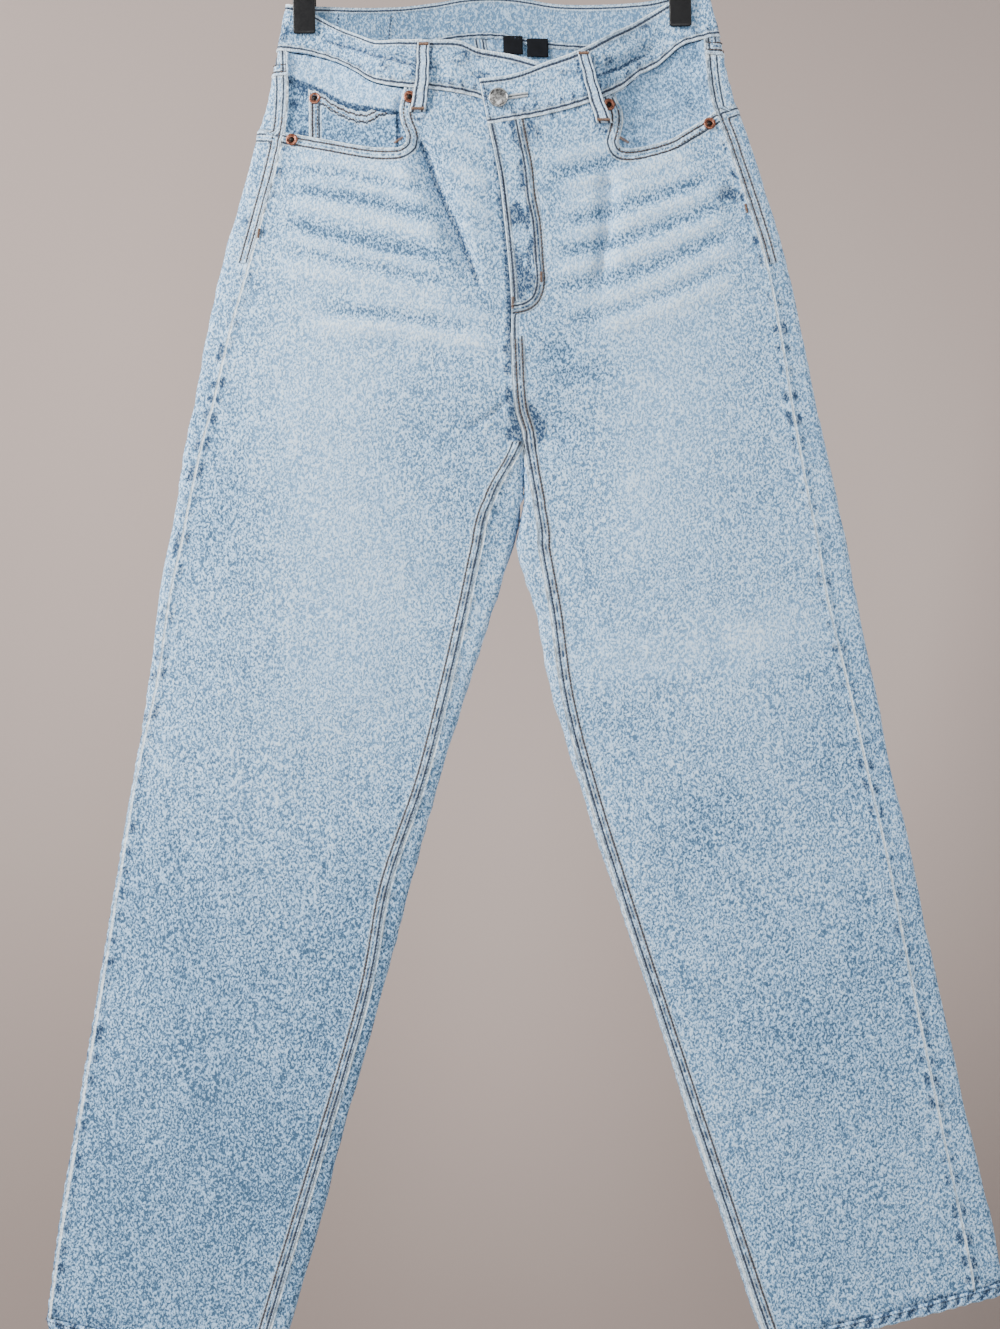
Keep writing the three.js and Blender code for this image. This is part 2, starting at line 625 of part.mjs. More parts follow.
function surfaceDepth(half, face, x, z) {
  const table = face === 'front' ? half.band : BAND_BACK;
  const bottom = heightAt(table, BOTTOM, x);
  const top = heightAt(table, TOP, x);
  const k = THREE.MathUtils.clamp((z - bottom) / (top - bottom), 0, 1);
  const panel = z < bottom - SEAM_GAP ? Math.abs(clothAt(half, face, x, z).point.y) : 0;
  const band = waistDepth(half, face, x / (1 - WAIST_LEAN * k), pinchedRadius(k), WAIST_FOLD_RADIUS);
  return z > bottom - 2 ? Math.max(panel, band) : panel;
}

function beltLoop({ half, face, top, foot }) {
  const sign = face === 'front' ? -1 : 1;
  const grid = spread(0, 1, 8).map((t) => [-0.5, 0.5].map((edge) => {
    const z = lerp(top[1], foot[1], t);
    const x = lerp(top[0], foot[0], t) + edge * LOOP_WIDTH;
    const stand = SEAM_GAP + LOOP_STAND * Math.sin(Math.PI * t) ** 0.6 + LOOP_WALL;
    const base = Math.max(...[-0.5, 0, 0.5].map((side) => surfaceDepth(half, face,
      lerp(top[0], foot[0], t) + side * LOOP_WIDTH, z)));
    return {
      point: new THREE.Vector3(x, sign * (base + stand), z),
      normal: new THREE.Vector3(0, sign, 0),
    };
  }));
  return wallSolid(grid, LOOP_WALL);
}

for (const loop of LOOPS) add(loop.name, beltLoop(loop), denim);

// Back pockets: plain five-sided patches, made from the back panel's points.
const BACK_POCKET = { centre: 96, top: -212, corner: -352, point: -374, halfTop: 74, halfFoot: 66 };

function backPocket(half) {
  const { centre, top, corner, point, halfTop, halfFoot } = BACK_POCKET;
  const grid = spread(0, 1, 8).map((t) => spread(-1, 1, 8).map((u) => {
    const foot = lerp(point, corner, Math.abs(u));
    const z = lerp(top, foot, t);
    const x = half.sign * (centre + 14 * t) + u * lerp(halfTop, halfFoot, t);
    return clothAt(half, 'back', x, z, SEAM_GAP + DENIM);
  }));
  return wallSolid(grid, DENIM);
}

add('back_pocket_left', backPocket(left), denim);
add('back_pocket_right', backPocket(right), denim);

// A plain patch on the back of the waistband, and two labels inside it.
function backPatch() {
  const places = spread(-93, -135, 4).map((x) => ({ half: left, face: 'back', x }));
  const grid = bandGrid(places, [0.2, 0.5, 0.88]);
  grid.flat().forEach(({ point, normal }) => point.addScaledVector(normal, SEAM_GAP + 1));
  return wallSolid(grid, 1);
}

add('back_patch', backPatch(), patchLook);
const backInside = WAIST_FOLD_RADIUS + BACK_BULGE - BAND_WALL - SEAM_GAP;
add('label_flat', new THREE.BoxGeometry(17, 0.7, 16)
  .translate(14, backInside - 0.4, -125), labelLook);
add('label_folded', new THREE.BoxGeometry(19, 1.6, 17)
  .translate(36, backInside - 1.1, -128), labelLook);

// Rivets: small domed discs with a raised middle, laid on the cloth.
const RIVET = [[0, 0], [5, 0], [5, 0.6], [3.4, 1.3], [2.4, 0.9], [1.2, 1.7], [0, 1.9]];
const RIVETS = [
  { name: 'rivet_pocket_left_outer', half: left, x: -171, z: -208, lift: SEAM_GAP },
  { name: 'rivet_coin_pocket', half: left, x: -152, z: -172, lift: COIN_LIFT + SEAM_GAP },
  { name: 'rivet_pocket_left_inner', half: left, x: -72, z: -178.5, lift: SEAM_GAP },
  { name: 'rivet_pocket_right_inner', half: right, x: 92, z: -187, lift: SEAM_GAP },
  { name: 'rivet_pocket_right_outer', half: right, x: 176, z: -201, lift: SEAM_GAP },
];

function turned(profile, sides, point, normal) {
  const geometry = new THREE.LatheGeometry(profile.map(([r, h]) => new THREE.Vector2(r, h)), sides);
  const turn = new THREE.Quaternion().setFromUnitVectors(new THREE.Vector3(0, 1, 0), normal);
  return geometry.applyQuaternion(turn).translate(...point.toArray());
}

for (const { name, half, x, z, lift } of RIVETS) {
  const { point, normal } = clothAt(half, 'front', x, z, lift);
  add(name, turned(RIVET, 12, point, normal), copper);
}

// Button: a domed head on a shank that stands on the underlap.
const SHANK = OVERLAP_FACE - SEAM_GAP - 0.2 - (UNDERLAP_FACE - SEAM_GAP);
const BUTTON_PROFILE = [[0, 0], [2.6, 0], [2.6, -SHANK], [7.6, -SHANK], [8, 1 - SHANK],
  [7.4, 2.2 - SHANK], [5.6, 2.9 - SHANK], [5, 2.3 - SHANK], [2.4, 2.6 - SHANK], [0, 2.7 - SHANK]];
add('button', turned(BUTTON_PROFILE, 16, new THREE.Vector3(BUTTON.x, UNDERLAP_FACE - SEAM_GAP, BUTTON.z),
  new THREE.Vector3(0, -1, 0)), silver);

// Hanger: a hook, a round bar and two sprung clips that hold the waistband.
const BAR = { radius: 4, z: -72, from: -177, to: 172 };
const JAW = { width: 18.5, wall: 3.5, top: -56, foot: -118 };
const HOOK = { wire: 1.7, inner: 18, collar: -52 };
const SPRING = { top: -78, foot: -84, wall: 1.2 };
const CLIPS = [{ side: 'left', x: -159.5 }, { side: 'right', x: 154 }];

add('hanger_bar', new THREE.CylinderGeometry(BAR.radius, BAR.radius, BAR.to - BAR.from, 16)
  .rotateZ(Math.PI / 2).translate((BAR.from + BAR.to) / 2, 0, BAR.z), blackPlastic);

function hook() {
  const arc = HOOK.inner + HOOK.wire;
  const around = spread(-55, 205, 12).map((angle) => {
    const a = degToRad(angle);
    return new THREE.Vector3(arc * Math.cos(a), 0, arc * Math.sin(a) - HOOK.inner);
  });
  const foot = BAR.z + BAR.radius + SEAM_GAP;
  const path = new THREE.CatmullRomCurve3([new THREE.Vector3(0, 0, foot),
    new THREE.Vector3(0, 0, HOOK.collar), new THREE.Vector3(2.5, 0, -43), ...around]);
  const ring = new THREE.Shape().absarc(0, 0, HOOK.wire, 0, 2 * Math.PI, false);
  return new THREE.ExtrudeGeometry(ring, { steps: 24, curveSegments: 4, extrudePath: path });
}

add('hanger_hook', hook(), steel);

for (const { side, x } of CLIPS) {
  const inner = BAR.radius + SEAM_GAP;
  for (const [place, sign] of [['front', -1], ['back', 1]]) {
    add(`clip_jaw_${place}_${side}`, new THREE.BoxGeometry(JAW.width, JAW.wall, JAW.top - JAW.foot)
      .translate(x, sign * (inner + JAW.wall / 2), (JAW.top + JAW.foot) / 2), blackPlastic);
  }
  const halfX = JAW.width / 2 + SEAM_GAP;
  const halfY = inner + JAW.wall + SEAM_GAP;
  const rim = (grow, turn) => [[-1, -1], [1, -1], [1, 1], [-1, 1]].map(([a, b]) => new THREE.Vector2(
    a * (halfX + grow), turn * b * (halfY + grow)));
  const strap = new THREE.Shape(rim(SPRING.wall, 1));
  strap.holes.push(new THREE.Path(rim(0, -1)));
  add(`clip_spring_${side}`, new THREE.ExtrudeGeometry(strap, {
    depth: SPRING.top - SPRING.foot, bevelEnabled: false,
  }).translate(x, 0, SPRING.foot), steel);
}

export default group;
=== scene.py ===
# %% [markdown]
# # High-rise jeans on a clip hanger
# Pale washed denim hangs flat from two black clips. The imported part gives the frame: where every
# panel, seam, rivet and clip is. Each cloth piece is built again here as a thin shell on the same
# sections, fine enough for creases, puckers and raised seams, and it stands for its plain solid.

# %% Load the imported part
import math
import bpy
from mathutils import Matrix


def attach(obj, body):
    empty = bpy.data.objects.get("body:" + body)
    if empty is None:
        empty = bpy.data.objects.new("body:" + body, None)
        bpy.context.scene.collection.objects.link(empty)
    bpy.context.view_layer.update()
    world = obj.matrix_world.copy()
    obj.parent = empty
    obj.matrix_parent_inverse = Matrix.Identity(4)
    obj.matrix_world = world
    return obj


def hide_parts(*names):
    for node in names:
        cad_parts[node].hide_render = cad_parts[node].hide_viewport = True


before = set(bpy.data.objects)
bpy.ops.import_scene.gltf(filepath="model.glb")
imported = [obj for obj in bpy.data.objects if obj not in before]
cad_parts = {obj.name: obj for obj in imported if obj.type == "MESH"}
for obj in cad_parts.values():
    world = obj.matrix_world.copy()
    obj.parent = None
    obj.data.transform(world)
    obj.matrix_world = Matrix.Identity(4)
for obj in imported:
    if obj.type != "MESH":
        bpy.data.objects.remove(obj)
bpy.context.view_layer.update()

from types import SimpleNamespace
import bpy
import numpy as np
from mathutils import Matrix, Vector

# %% [markdown]
# ## The camera
# The garment was seen from straight in front, 1.5 m away, and very slightly turned. A long side of
# 1329 pixels at 0.83 mm each on the plane of the cloth's face gives the lens.

# %% Camera
MM = 0.001
VIEW_AT = Vector((-6.64, -12.0, -646.98))
VIEW_DISTANCE = 1500.0
PIXEL_MM = 0.83
LONG_SIDE = 1329
SENSOR = 36.0
ROLL = math.radians(-1.1)

camera_data = bpy.data.cameras.new("camera")
camera_data.sensor_width = SENSOR
camera_data.lens = SENSOR * VIEW_DISTANCE / (LONG_SIDE * PIXEL_MM)
camera = bpy.data.objects.new("camera", camera_data)
bpy.context.collection.objects.link(camera)
camera.location = (VIEW_AT - Vector((0, VIEW_DISTANCE, 0))) * MM
camera.rotation_euler = (Matrix.Rotation(math.radians(90), 3, "X") @ Matrix.Rotation(ROLL, 3, "Z")).to_euler()
bpy.context.scene.camera = camera
print("lens", round(camera_data.lens, 2), "mm")

# %% [markdown]
# ## Sections of the two halves
# Each half of the garment hangs as a flattened tube. A row of the table gives, at one height, the
# outer and inner fold, how far the side seam and the inseam lie from those folds on the front, and
# how far front and back stand out. A smooth curve through the rows gives every height between. The
# form could be sculpted. Sections are chosen, because they give any point at any fineness.

# %% Tables in millimetres, with the row as q
HALF_COLUMNS = ("outX", "outZ", "inX", "inZ", "side", "inseam", "front", "back")
LEFT_HALF = np.array([
    [-183, -131, -8, -141, 8, 0, 22, 15], [-192, -171, -2, -181, 17, 0, 22, 17],
    [-205, -213, 2, -222, 24, 0, 21, 19], [-231, -304, 8, -313, 24, 0, 20, 20],
    [-246, -362, 8, -371, 21, 0, 18, 19], [-258, -421, 10, -429, 18, 0, 16, 17],
    [-267, -459, 17, -460, 16, 0, 14, 15], [-275, -504, 16, -510, 13, 24, 13, 14],
    [-282, -542, 8, -547, 12, 27, 13, 14], [-292, -588, -11, -603, 11, 21, 12, 13],
    [-301, -654, -36, -674, 9, 14, 12, 13], [-312, -721, -59, -745, 4, 11, 12, 13],
    [-328, -804, -85, -832, 4, 16, 12, 13], [-346, -904, -114, -935, 4, 10, 12, 13],
    [-383, -1105, -176, -1145, 4, 15, 11, 12], [-395, -1177, -200, -1220, 4, 15, 11, 12],
    [-394, -1195, -205, -1237, 4, 15, 11, 12]], float)
RIGHT_HALF = np.array([
    [187, -126, -8, -141, 13, 0, 22, 15], [199, -179, -2, -181, 20, 0, 22, 17],
    [214, -221, 2, -222, 21, 0, 21, 19], [238, -313, 8, -313, 18, 0, 20, 20],
    [251, -372, 8, -371, 20, 0, 18, 19], [262, -431, 10, -429, 22, 0, 16, 17],
    [268, -460, 17, -460, 24, 0, 14, 15], [278, -515, 16, -510, 25, 8, 13, 14],
    [285, -553, 8, -547, 25, 19, 13, 14], [293, -599, 23, -604, 26, 13, 12, 13],
    [306, -666, 37, -676, 24, 8, 12, 13], [318, -733, 57, -748, 22, 5, 12, 13],
    [335, -817, 85, -837, 22, 3, 12, 13], [354, -918, 117, -942, 23, 3, 12, 13],
    [395, -1120, 184, -1156, 26, 3, 11, 12], [403.5, -1165, 201, -1209, 27, 3, 11, 12],
    [404, -1180, 205, -1224, 27, 3, 11, 12]], float)
# x, lower edge and upper edge of the waistband
BAND_RIGHT = np.array([
    [-8, -202, -165], [13, -199, -162], [40, -195, -153], [75, -186, -141], [103, -173, -125],
    [118, -160, -117], [134, -151, -107], [154, -134, -96], [170, -129, -90], [187, -126, -86]], float)
BAND_LEFT = np.array([
    [-183, -131, -92], [-168, -133, -96], [-155, -135, -103], [-134, -142, -115], [-118, -152, -123],
    [-103, -163, -130], [-83, -169, -131], [-57, -172, -132], [-31, -176, -133], [-16, -179, -139],
    [1, -186, -142], [16, -191, -145], [36, -196, -151]], float)
BAND_BACK = np.array([
    [-183, -131, -92], [-160, -131, -93], [-126, -129, -94], [-87, -126, -92], [-55, -123, -88],
    [-28, -119, -84], [2, -119, -83], [29, -125, -86], [55, -129, -91], [92, -132, -94],
    [134, -132, -94], [160, -128, -89], [187, -126, -86]], float)
BOTTOM, TOP = 1, 2

CROTCH_ROW = 6
LEGS_PART_ROW = 8
FLY_END_ROW = 3.9
SAG_END_ROW = 5
HEM_ROW = 16
HEM_TOP_ROW = 15.18
FOLD_RADIUS = 5.0
WAIST_FOLD_RADIUS = 5.5
WAIST_STEP = 0.8
WAIST_GAP = 0.3
WAIST_LEAN = 0.043
OVERLAP_SLANT = 7.0
PINCHED_RADIUS = 3.9
PINCH_FROM = 0.22
FRONT_BULGE = 19.5
BACK_BULGE = 10.5
WAIST_BLEND = 95.0
UNDERLAP = 22.0
UNDERLAP_DROP = 2.6
BAND_DROP = 3.3
LEG_GAP = 0.25
FULLNESS = 0.8
DENIM = 1.2
BAND_WALL = 2.6

LEFT = {"name": "left", "sign": -1, "table": LEFT_HALF, "band": BAND_LEFT, "fold": -183, "clip": 152}
RIGHT = {"name": "right", "sign": 1, "table": RIGHT_HALF, "band": BAND_RIGHT, "fold": 187, "clip": 146}
HALVES = (LEFT, RIGHT)


# %% Curves through the tables
def smooth(value, low, high):
    """0 below low, 1 above high, and an S curve between."""
    t = np.clip((np.asarray(value, float) - low) / (high - low), 0, 1)
    return t * t * (3 - 2 * t)


def mix(a, b, share):
    return a + (b - a) * share


def bell(distance, wide):
    """1 at no distance, fading to nothing over about two widths."""
    return np.exp(-((distance / wide) ** 2))


def column_at(table, column, q):
    """One column of a half's table at row q, on a smooth curve through the rows."""
    last = len(table) - 1
    i = np.clip(np.floor(q).astype(int), 0, last - 1)
    t = q - i
    values = table[:, column]
    a, b, c, d = (values[np.clip(i + k, 0, last)] for k in (-1, 0, 1, 2))
    return 0.5 * (2 * b + (c - a) * t + (2 * a - 5 * b + 4 * c - d) * t ** 2
                  + (3 * b - a - 3 * c + d) * t ** 3)


def height_at(table, column, x):
    """The height of a waistband edge, or a like line, at x."""
    xs, values = table[:, 0], table[:, column]
    last = len(table) - 1
    x = np.asarray(x, float)
    i = np.clip(np.searchsorted(xs[1:], x, "left"), 0, last - 1)
    lows = np.maximum(np.arange(last + 1) - 1, 0)
    highs = np.minimum(np.arange(last + 1) + 1, last)
    slopes = (values[highs] - values[lows]) / (xs[highs] - xs[lows])
    span = xs[i + 1] - xs[i]
    t = np.clip((x - xs[i]) / span, 0, 1)
    return ((2 * t ** 3 - 3 * t ** 2 + 1) * values[i] + (t ** 3 - 2 * t ** 2 + t) * span * slopes[i]
            + (3 * t ** 2 - 2 * t ** 3) * values[i + 1] + (t ** 3 - t ** 2) * span * slopes[i + 1])


def half_row(half, q):
    """Every column at row q, with the width of the flattened tube."""
    q = np.asarray(q, float)
    row = {name: column_at(half["table"], k, q) for k, name in enumerate(HALF_COLUMNS)}
    below = q > CROTCH_ROW
    joined = below & (q < LEGS_PART_ROW)
    i = np.clip(np.floor(q).astype(int), 0, HEM_ROW - 1)
    for name in ("inX", "inZ"):
        values = half["table"][:, HALF_COLUMNS.index(name)]
        row[name] = np.where(joined, mix(values[i], values[i + 1], q - i), row[name])
    row["inX"] = row["inX"] + np.where(below, half["sign"] * LEG_GAP, 0)
    row["inseam"] = np.where(below, np.maximum(row["inseam"], 0), 0)
    row["width"] = np.hypot(row["outX"] - row["inX"], row["outZ"] - row["inZ"])
    return row


print("left leg opening", round(float(half_row(LEFT, 16.0)["width"])), "mm across")

# %% [markdown]
# ## Soft folds and the drape
# Cloth that hangs still keeps slow undulations, the two long folds that run from the pocket corners
# to the end of the fly, fine whiskers where the hips crease, and puckers along every seam. These are
# moves of the surface along its normal, all in one place, so that neighbouring pieces agree. They
# could be simulated, but such cloth would hang its own way. Listed lines put each fold in place.

# %% Noise and creases
NOISE_TABLE = np.random.RandomState(41).uniform(-1, 1, 8192)


def soft_noise(points, cell, shift=0.0):
    """Smooth noise from -1 to 1 at places in mm, with lumps about one cell wide."""
    scaled = np.asarray(points, float) / cell + shift
    base = np.floor(scaled).astype(np.int64)
    t = scaled - base
    t = t * t * (3 - 2 * t)
    total = np.zeros(scaled.shape[:-1])
    for corner in np.ndindex(2, 2, 2):
        spot = base + np.array(corner)
        key = (spot[..., 0] * 73856093) ^ (spot[..., 1] * 19349663) ^ (spot[..., 2] * 83492791)
        weight = np.prod(np.where(np.array(corner) == 1, t, 1 - t), axis=-1)
        total += weight * NOISE_TABLE[key % len(NOISE_TABLE)]
    return total


def along_line(x, z, line):
    """Distance from each place to a line through a few points, and the share of its length there."""
    line = np.asarray(line, float)
    steps = np.diff(line, axis=0)
    lengths = np.hypot(steps[:, 0], steps[:, 1])
    starts = np.concatenate([[0], np.cumsum(lengths)])
    best = np.full(np.shape(x), 1e9)
    share = np.zeros(np.shape(x))
    for (ax, az), (dx, dz), length, start in zip(line[:-1], steps, lengths, starts):
        t = np.clip(((x - ax) * dx + (z - az) * dz) / length ** 2, 0, 1)
        distance = np.hypot(x - ax - t * dx, z - az - t * dz)
        nearer = distance < best
        best = np.where(nearer, distance, best)
        share = np.where(nearer, (start + t * length) / starts[-1], share)
    return best, share


def curve(points, steps=6):
    """A smooth line through a few points."""
    points = np.asarray(points, float)
    q = np.linspace(0, len(points) - 1, steps * (len(points) - 1) + 1)
    return np.stack([column_at(points, k, q) for k in range(points.shape[1])], axis=-1)


# each fold: its line, how deep it is (below 0 it stands up) and how wide
FRONT_FOLDS = (
    (((-70, -196), (-44, -266), (-12, -352)), 5.2, 7),
    (((91, -226), (89, -290), (78, -362)), 4.6, 8),
    (((-90, -212), (-62, -276), (-34, -346)), -3.0, 8),
    (((-282, -754), (-255, -862), (-188, -1005)), 2.0, 14),
    (((-219, -888), (-162, -955), (-138, -997)), 1.3, 10),
    (((-262, -1011), (-222, -1070), (-213, -1128)), 1.6, 14),
    (((-177, -889), (-144, -893), (-115, -906)), 0.9, 7),
    (((-223, -672), (-212, -755), (-209, -838)), 1.0, 13),
    (((119, -787), (147, -829), (173, -875)), 1.8, 10),
    (((152, -1040), (185, -1030), (231, -1011)), 1.0, 5),
    (((198, -1078), (210, -1128), (223, -1187)), -1.0, 4),
    (((154, -912), (194, -970), (235, -1013)), 1.5, 12),
    (((68, -661), (118, -650), (159, -656)), 0.8, 8),
)
BACK_FOLDS = (
    (((-40, -404), (-105, -424), (-170, -436)), 4.0, 12),
    (((64, -408), (127, -428), (190, -440)), 3.5, 13),
    (((-60, -470), (-130, -500), (-200, -498)), 2.4, 12),
    (((70, -476), (140, -506), (210, -502)), 2.2, 12),
    (((-250, -700), (-180, -735), (-110, -735)), 1.6, 12),
    (((110, -720), (180, -745), (260, -730)), 1.6, 12),
    (((-290, -860), (-230, -930), (-190, -1010)), 1.8, 14),
    (((190, -900), (240, -960), (300, -1000)), 1.6, 13),
)


def add_along(total, x, z, where, line, wide, strength, risen=0.16, falls=0.84):
    """Adds a soft stroke along a line, that rises and falls at its ends, to the places near it."""
    low, high = line.min(axis=0) - 3 * wide, line.max(axis=0) + 3 * wide
    near = where & (x > low[0]) & (x < high[0]) & (z > low[1]) & (z < high[1])
    if near.any():
        distance, share = along_line(x[near], z[near], line)
        ends = smooth(share, 0, risen) * (1 - smooth(share, falls, 1))
        total[near] += strength * ends * bell(distance, wide)


FOLD_LINES = [(is_front, curve(line), deep, wide)
              for is_front, folds in ((True, FRONT_FOLDS), (False, BACK_FOLDS))
              for line, deep, wide in folds]


def fold_depth(front, x, z):
    depth = np.zeros(np.shape(x))
    for is_front, line, deep, wide in FOLD_LINES:
        add_along(depth, x, z, front if is_front else ~front, line, wide, deep, 0.2, 0.6)
    return depth


# %% [markdown]
# ## The surface of the cloth
# One function places any point of the outer face: q is the row and reach the distance round the
# half, from the inner fold across the front to the outer fold and back over the back. Each piece
# could have its own form. One function for all keeps the panels joined along their seams.

# %% Cloth points
def rounding(distance, radius):
    t = 1 - np.clip(distance / radius, 0, 1)
    return np.sqrt(1 - t * t)


def waist_depth(half, front, x, radius, full):
    """How far the waist stands out from the middle plane: pinched at the clips, open between."""
    bulge = np.where(front, FRONT_BULGE, BACK_BULGE) + full - radius
    ramp = np.where(front, 75, 110)
    outer = half["sign"] * x
    at_fold = radius * rounding(abs(half["fold"]) - outer, radius)
    return at_fold + bulge * smooth((half["clip"] - outer) / ramp, 0, 1)


def cloth_height(half, front, row, s, q):
    table = half["table"]
    level = mix(row["inZ"], row["outZ"], s)
    first_x = mix(table[0][2], table[0][0], s)
    first_level = mix(table[0][3], table[0][1], s)
    edge = np.where(front, height_at(half["band"], BOTTOM, first_x), height_at(BAND_BACK, BOTTOM, first_x))
    fade = mix(np.minimum(q / SAG_END_ROW, 1), smooth(q, 0, SAG_END_ROW), 0.5)
    return level + (edge - WAIST_GAP - first_level) * (1 - fade)


def cloth_point(half, reach, q):
    q, reach = np.broadcast_arrays(np.asarray(q, float), np.asarray(reach, float))
    row = half_row(half, q)
    width = row["width"]
    below = q > CROTCH_ROW
    around = np.where(below & (reach > 2 * width), reach - 2 * width, reach)
    around = np.where(below & (around < 0), around + 2 * width, around)
    front = around <= width
    along = np.where(front, around, 2 * width - around)
    s = along / width
    x = mix(row["inX"], row["outX"], s)
    z = cloth_height(half, front, row, s, q)
    above = np.where(q < CROTCH_ROW, row["inZ"] - half["table"][CROTCH_ROW][3], 0)
    to_inner = np.hypot(np.maximum(along, 0), above)
    to_outer = width - along
    inside = np.clip(s, 0, 1)
    hip = (1 - inside * inside) ** FULLNESS
    leg = (4 * inside * (1 - inside)) ** FULLNESS
    depth = np.where(front, row["front"], row["back"])
    out = FOLD_RADIUS * rounding(to_inner, FOLD_RADIUS) * rounding(to_outer, FOLD_RADIUS)
    out = out + (depth - FOLD_RADIUS) * mix(hip, leg, smooth(q, 4.4, CROTCH_ROW))
    table = half["table"]
    waist_share = 1 - smooth(table[0][1] - row["outZ"], 0, WAIST_BLEND)
    first_x = mix(table[0][2], table[0][0], s)
    radius = WAIST_FOLD_RADIUS - WAIST_STEP
    out = mix(out, waist_depth(half, front, first_x, radius, radius), waist_share)
    edge = rounding(np.minimum(to_inner, to_outer), 40)
    out = out - fold_depth(front, x, z) * edge
    if half is LEFT:
        under = (1 - smooth(along, 6, 30)) * (1 - smooth(q, FLY_END_ROW - 0.9, FLY_END_ROW + 0.4))
        out = out - np.where(front, UNDERLAP_DROP * under, 0)
    return np.stack([x, np.where(front, -out, out), z], axis=-1)


def unit(vectors):
    return vectors / np.maximum(np.linalg.norm(vectors, axis=-1, keepdims=True), 1e-9)


def cloth_frame(half, reach, q):
    """Points of the bare surface and their outward normals."""
    q, reach = np.broadcast_arrays(np.asarray(q, float), np.asarray(reach, float))
    width = half_row(half, q)["width"]
    closed = q > CROTCH_ROW
    step = 0.4
    low = np.where(closed | (reach > step) | (reach <= width), reach - step, reach)
    high = np.where(closed, reach + step, np.minimum(reach + step, 2 * width))
    up, down = np.maximum(q - 0.01, 0), np.minimum(q + 0.01, HEM_ROW)
    across = cloth_point(half, high, q) - cloth_point(half, low, q)
    share = reach / width
    run = cloth_point(half, share * half_row(half, down)["width"], down) \
        - cloth_point(half, share * half_row(half, up)["width"], up)
    normal = unit(np.cross(across, run)) * -half["sign"]
    at_middle = (~closed) & ((reach < 1) | (reach > 2 * width - 1))
    flat = unit(np.stack([np.zeros_like(q), run[..., 2], -run[..., 1]], axis=-1))
    wrong = (reach <= width) == (flat[..., 1] > 0)
    flat = np.where(wrong[..., None], -flat, flat)
    return cloth_point(half, reach, q), np.where(at_middle[..., None], flat, normal)


def place_on(half, front, x, z):
    """Reach and row of the place of one face that is seen at x and z."""
    x, z = np.broadcast_arrays(np.asarray(x, float), np.asarray(z, float))
    face = np.full(x.shape, front)
    low, high = np.zeros(x.shape), np.full(x.shape, float(HEM_ROW))
    for _ in range(34):
        guess = (low + high) / 2
        row = half_row(half, guess)
        s = (x - row["inX"]) / (row["outX"] - row["inX"])
        above = cloth_height(half, face, row, s, guess) > z
        low, high = np.where(above, guess, low), np.where(above, high, guess)
    row = half_row(half, low)
    s = (x - row["inX"]) / (row["outX"] - row["inX"])
    return (s if front else 2 - s) * row["width"], low


def seam_places(half, reach, q):
    """Distances in mm from each place to the side seam, the inseam and the middle seam. The side
    seam's is above 0 on the front panel and the inseam's likewise."""
    q, reach = np.broadcast_arrays(np.asarray(q, float), np.asarray(reach, float))
    row = half_row(half, q)
    width = row["width"]
    below = q > CROTCH_ROW
    around = np.where(below & (reach > 2 * width), reach - 2 * width, reach)
    side = width - row["side"] - around
    inseam = np.where(around <= width, around - row["inseam"], -(2 * width - around) - row["inseam"])
    drop = np.where(below, 0, row["inZ"] - half["table"][CROTCH_ROW][3])
    inseam = np.where(below, inseam, np.hypot(around, drop) + 0.01)
    middle = np.where(around <= width, around, 2 * width - around)
    return side, inseam, np.where(below, np.hypot(middle, (q - CROTCH_ROW) * 40), middle)


print("side seam to inner fold at the knee:", seam_places(LEFT, 0.0, 11.0)[0].round(1), "mm")
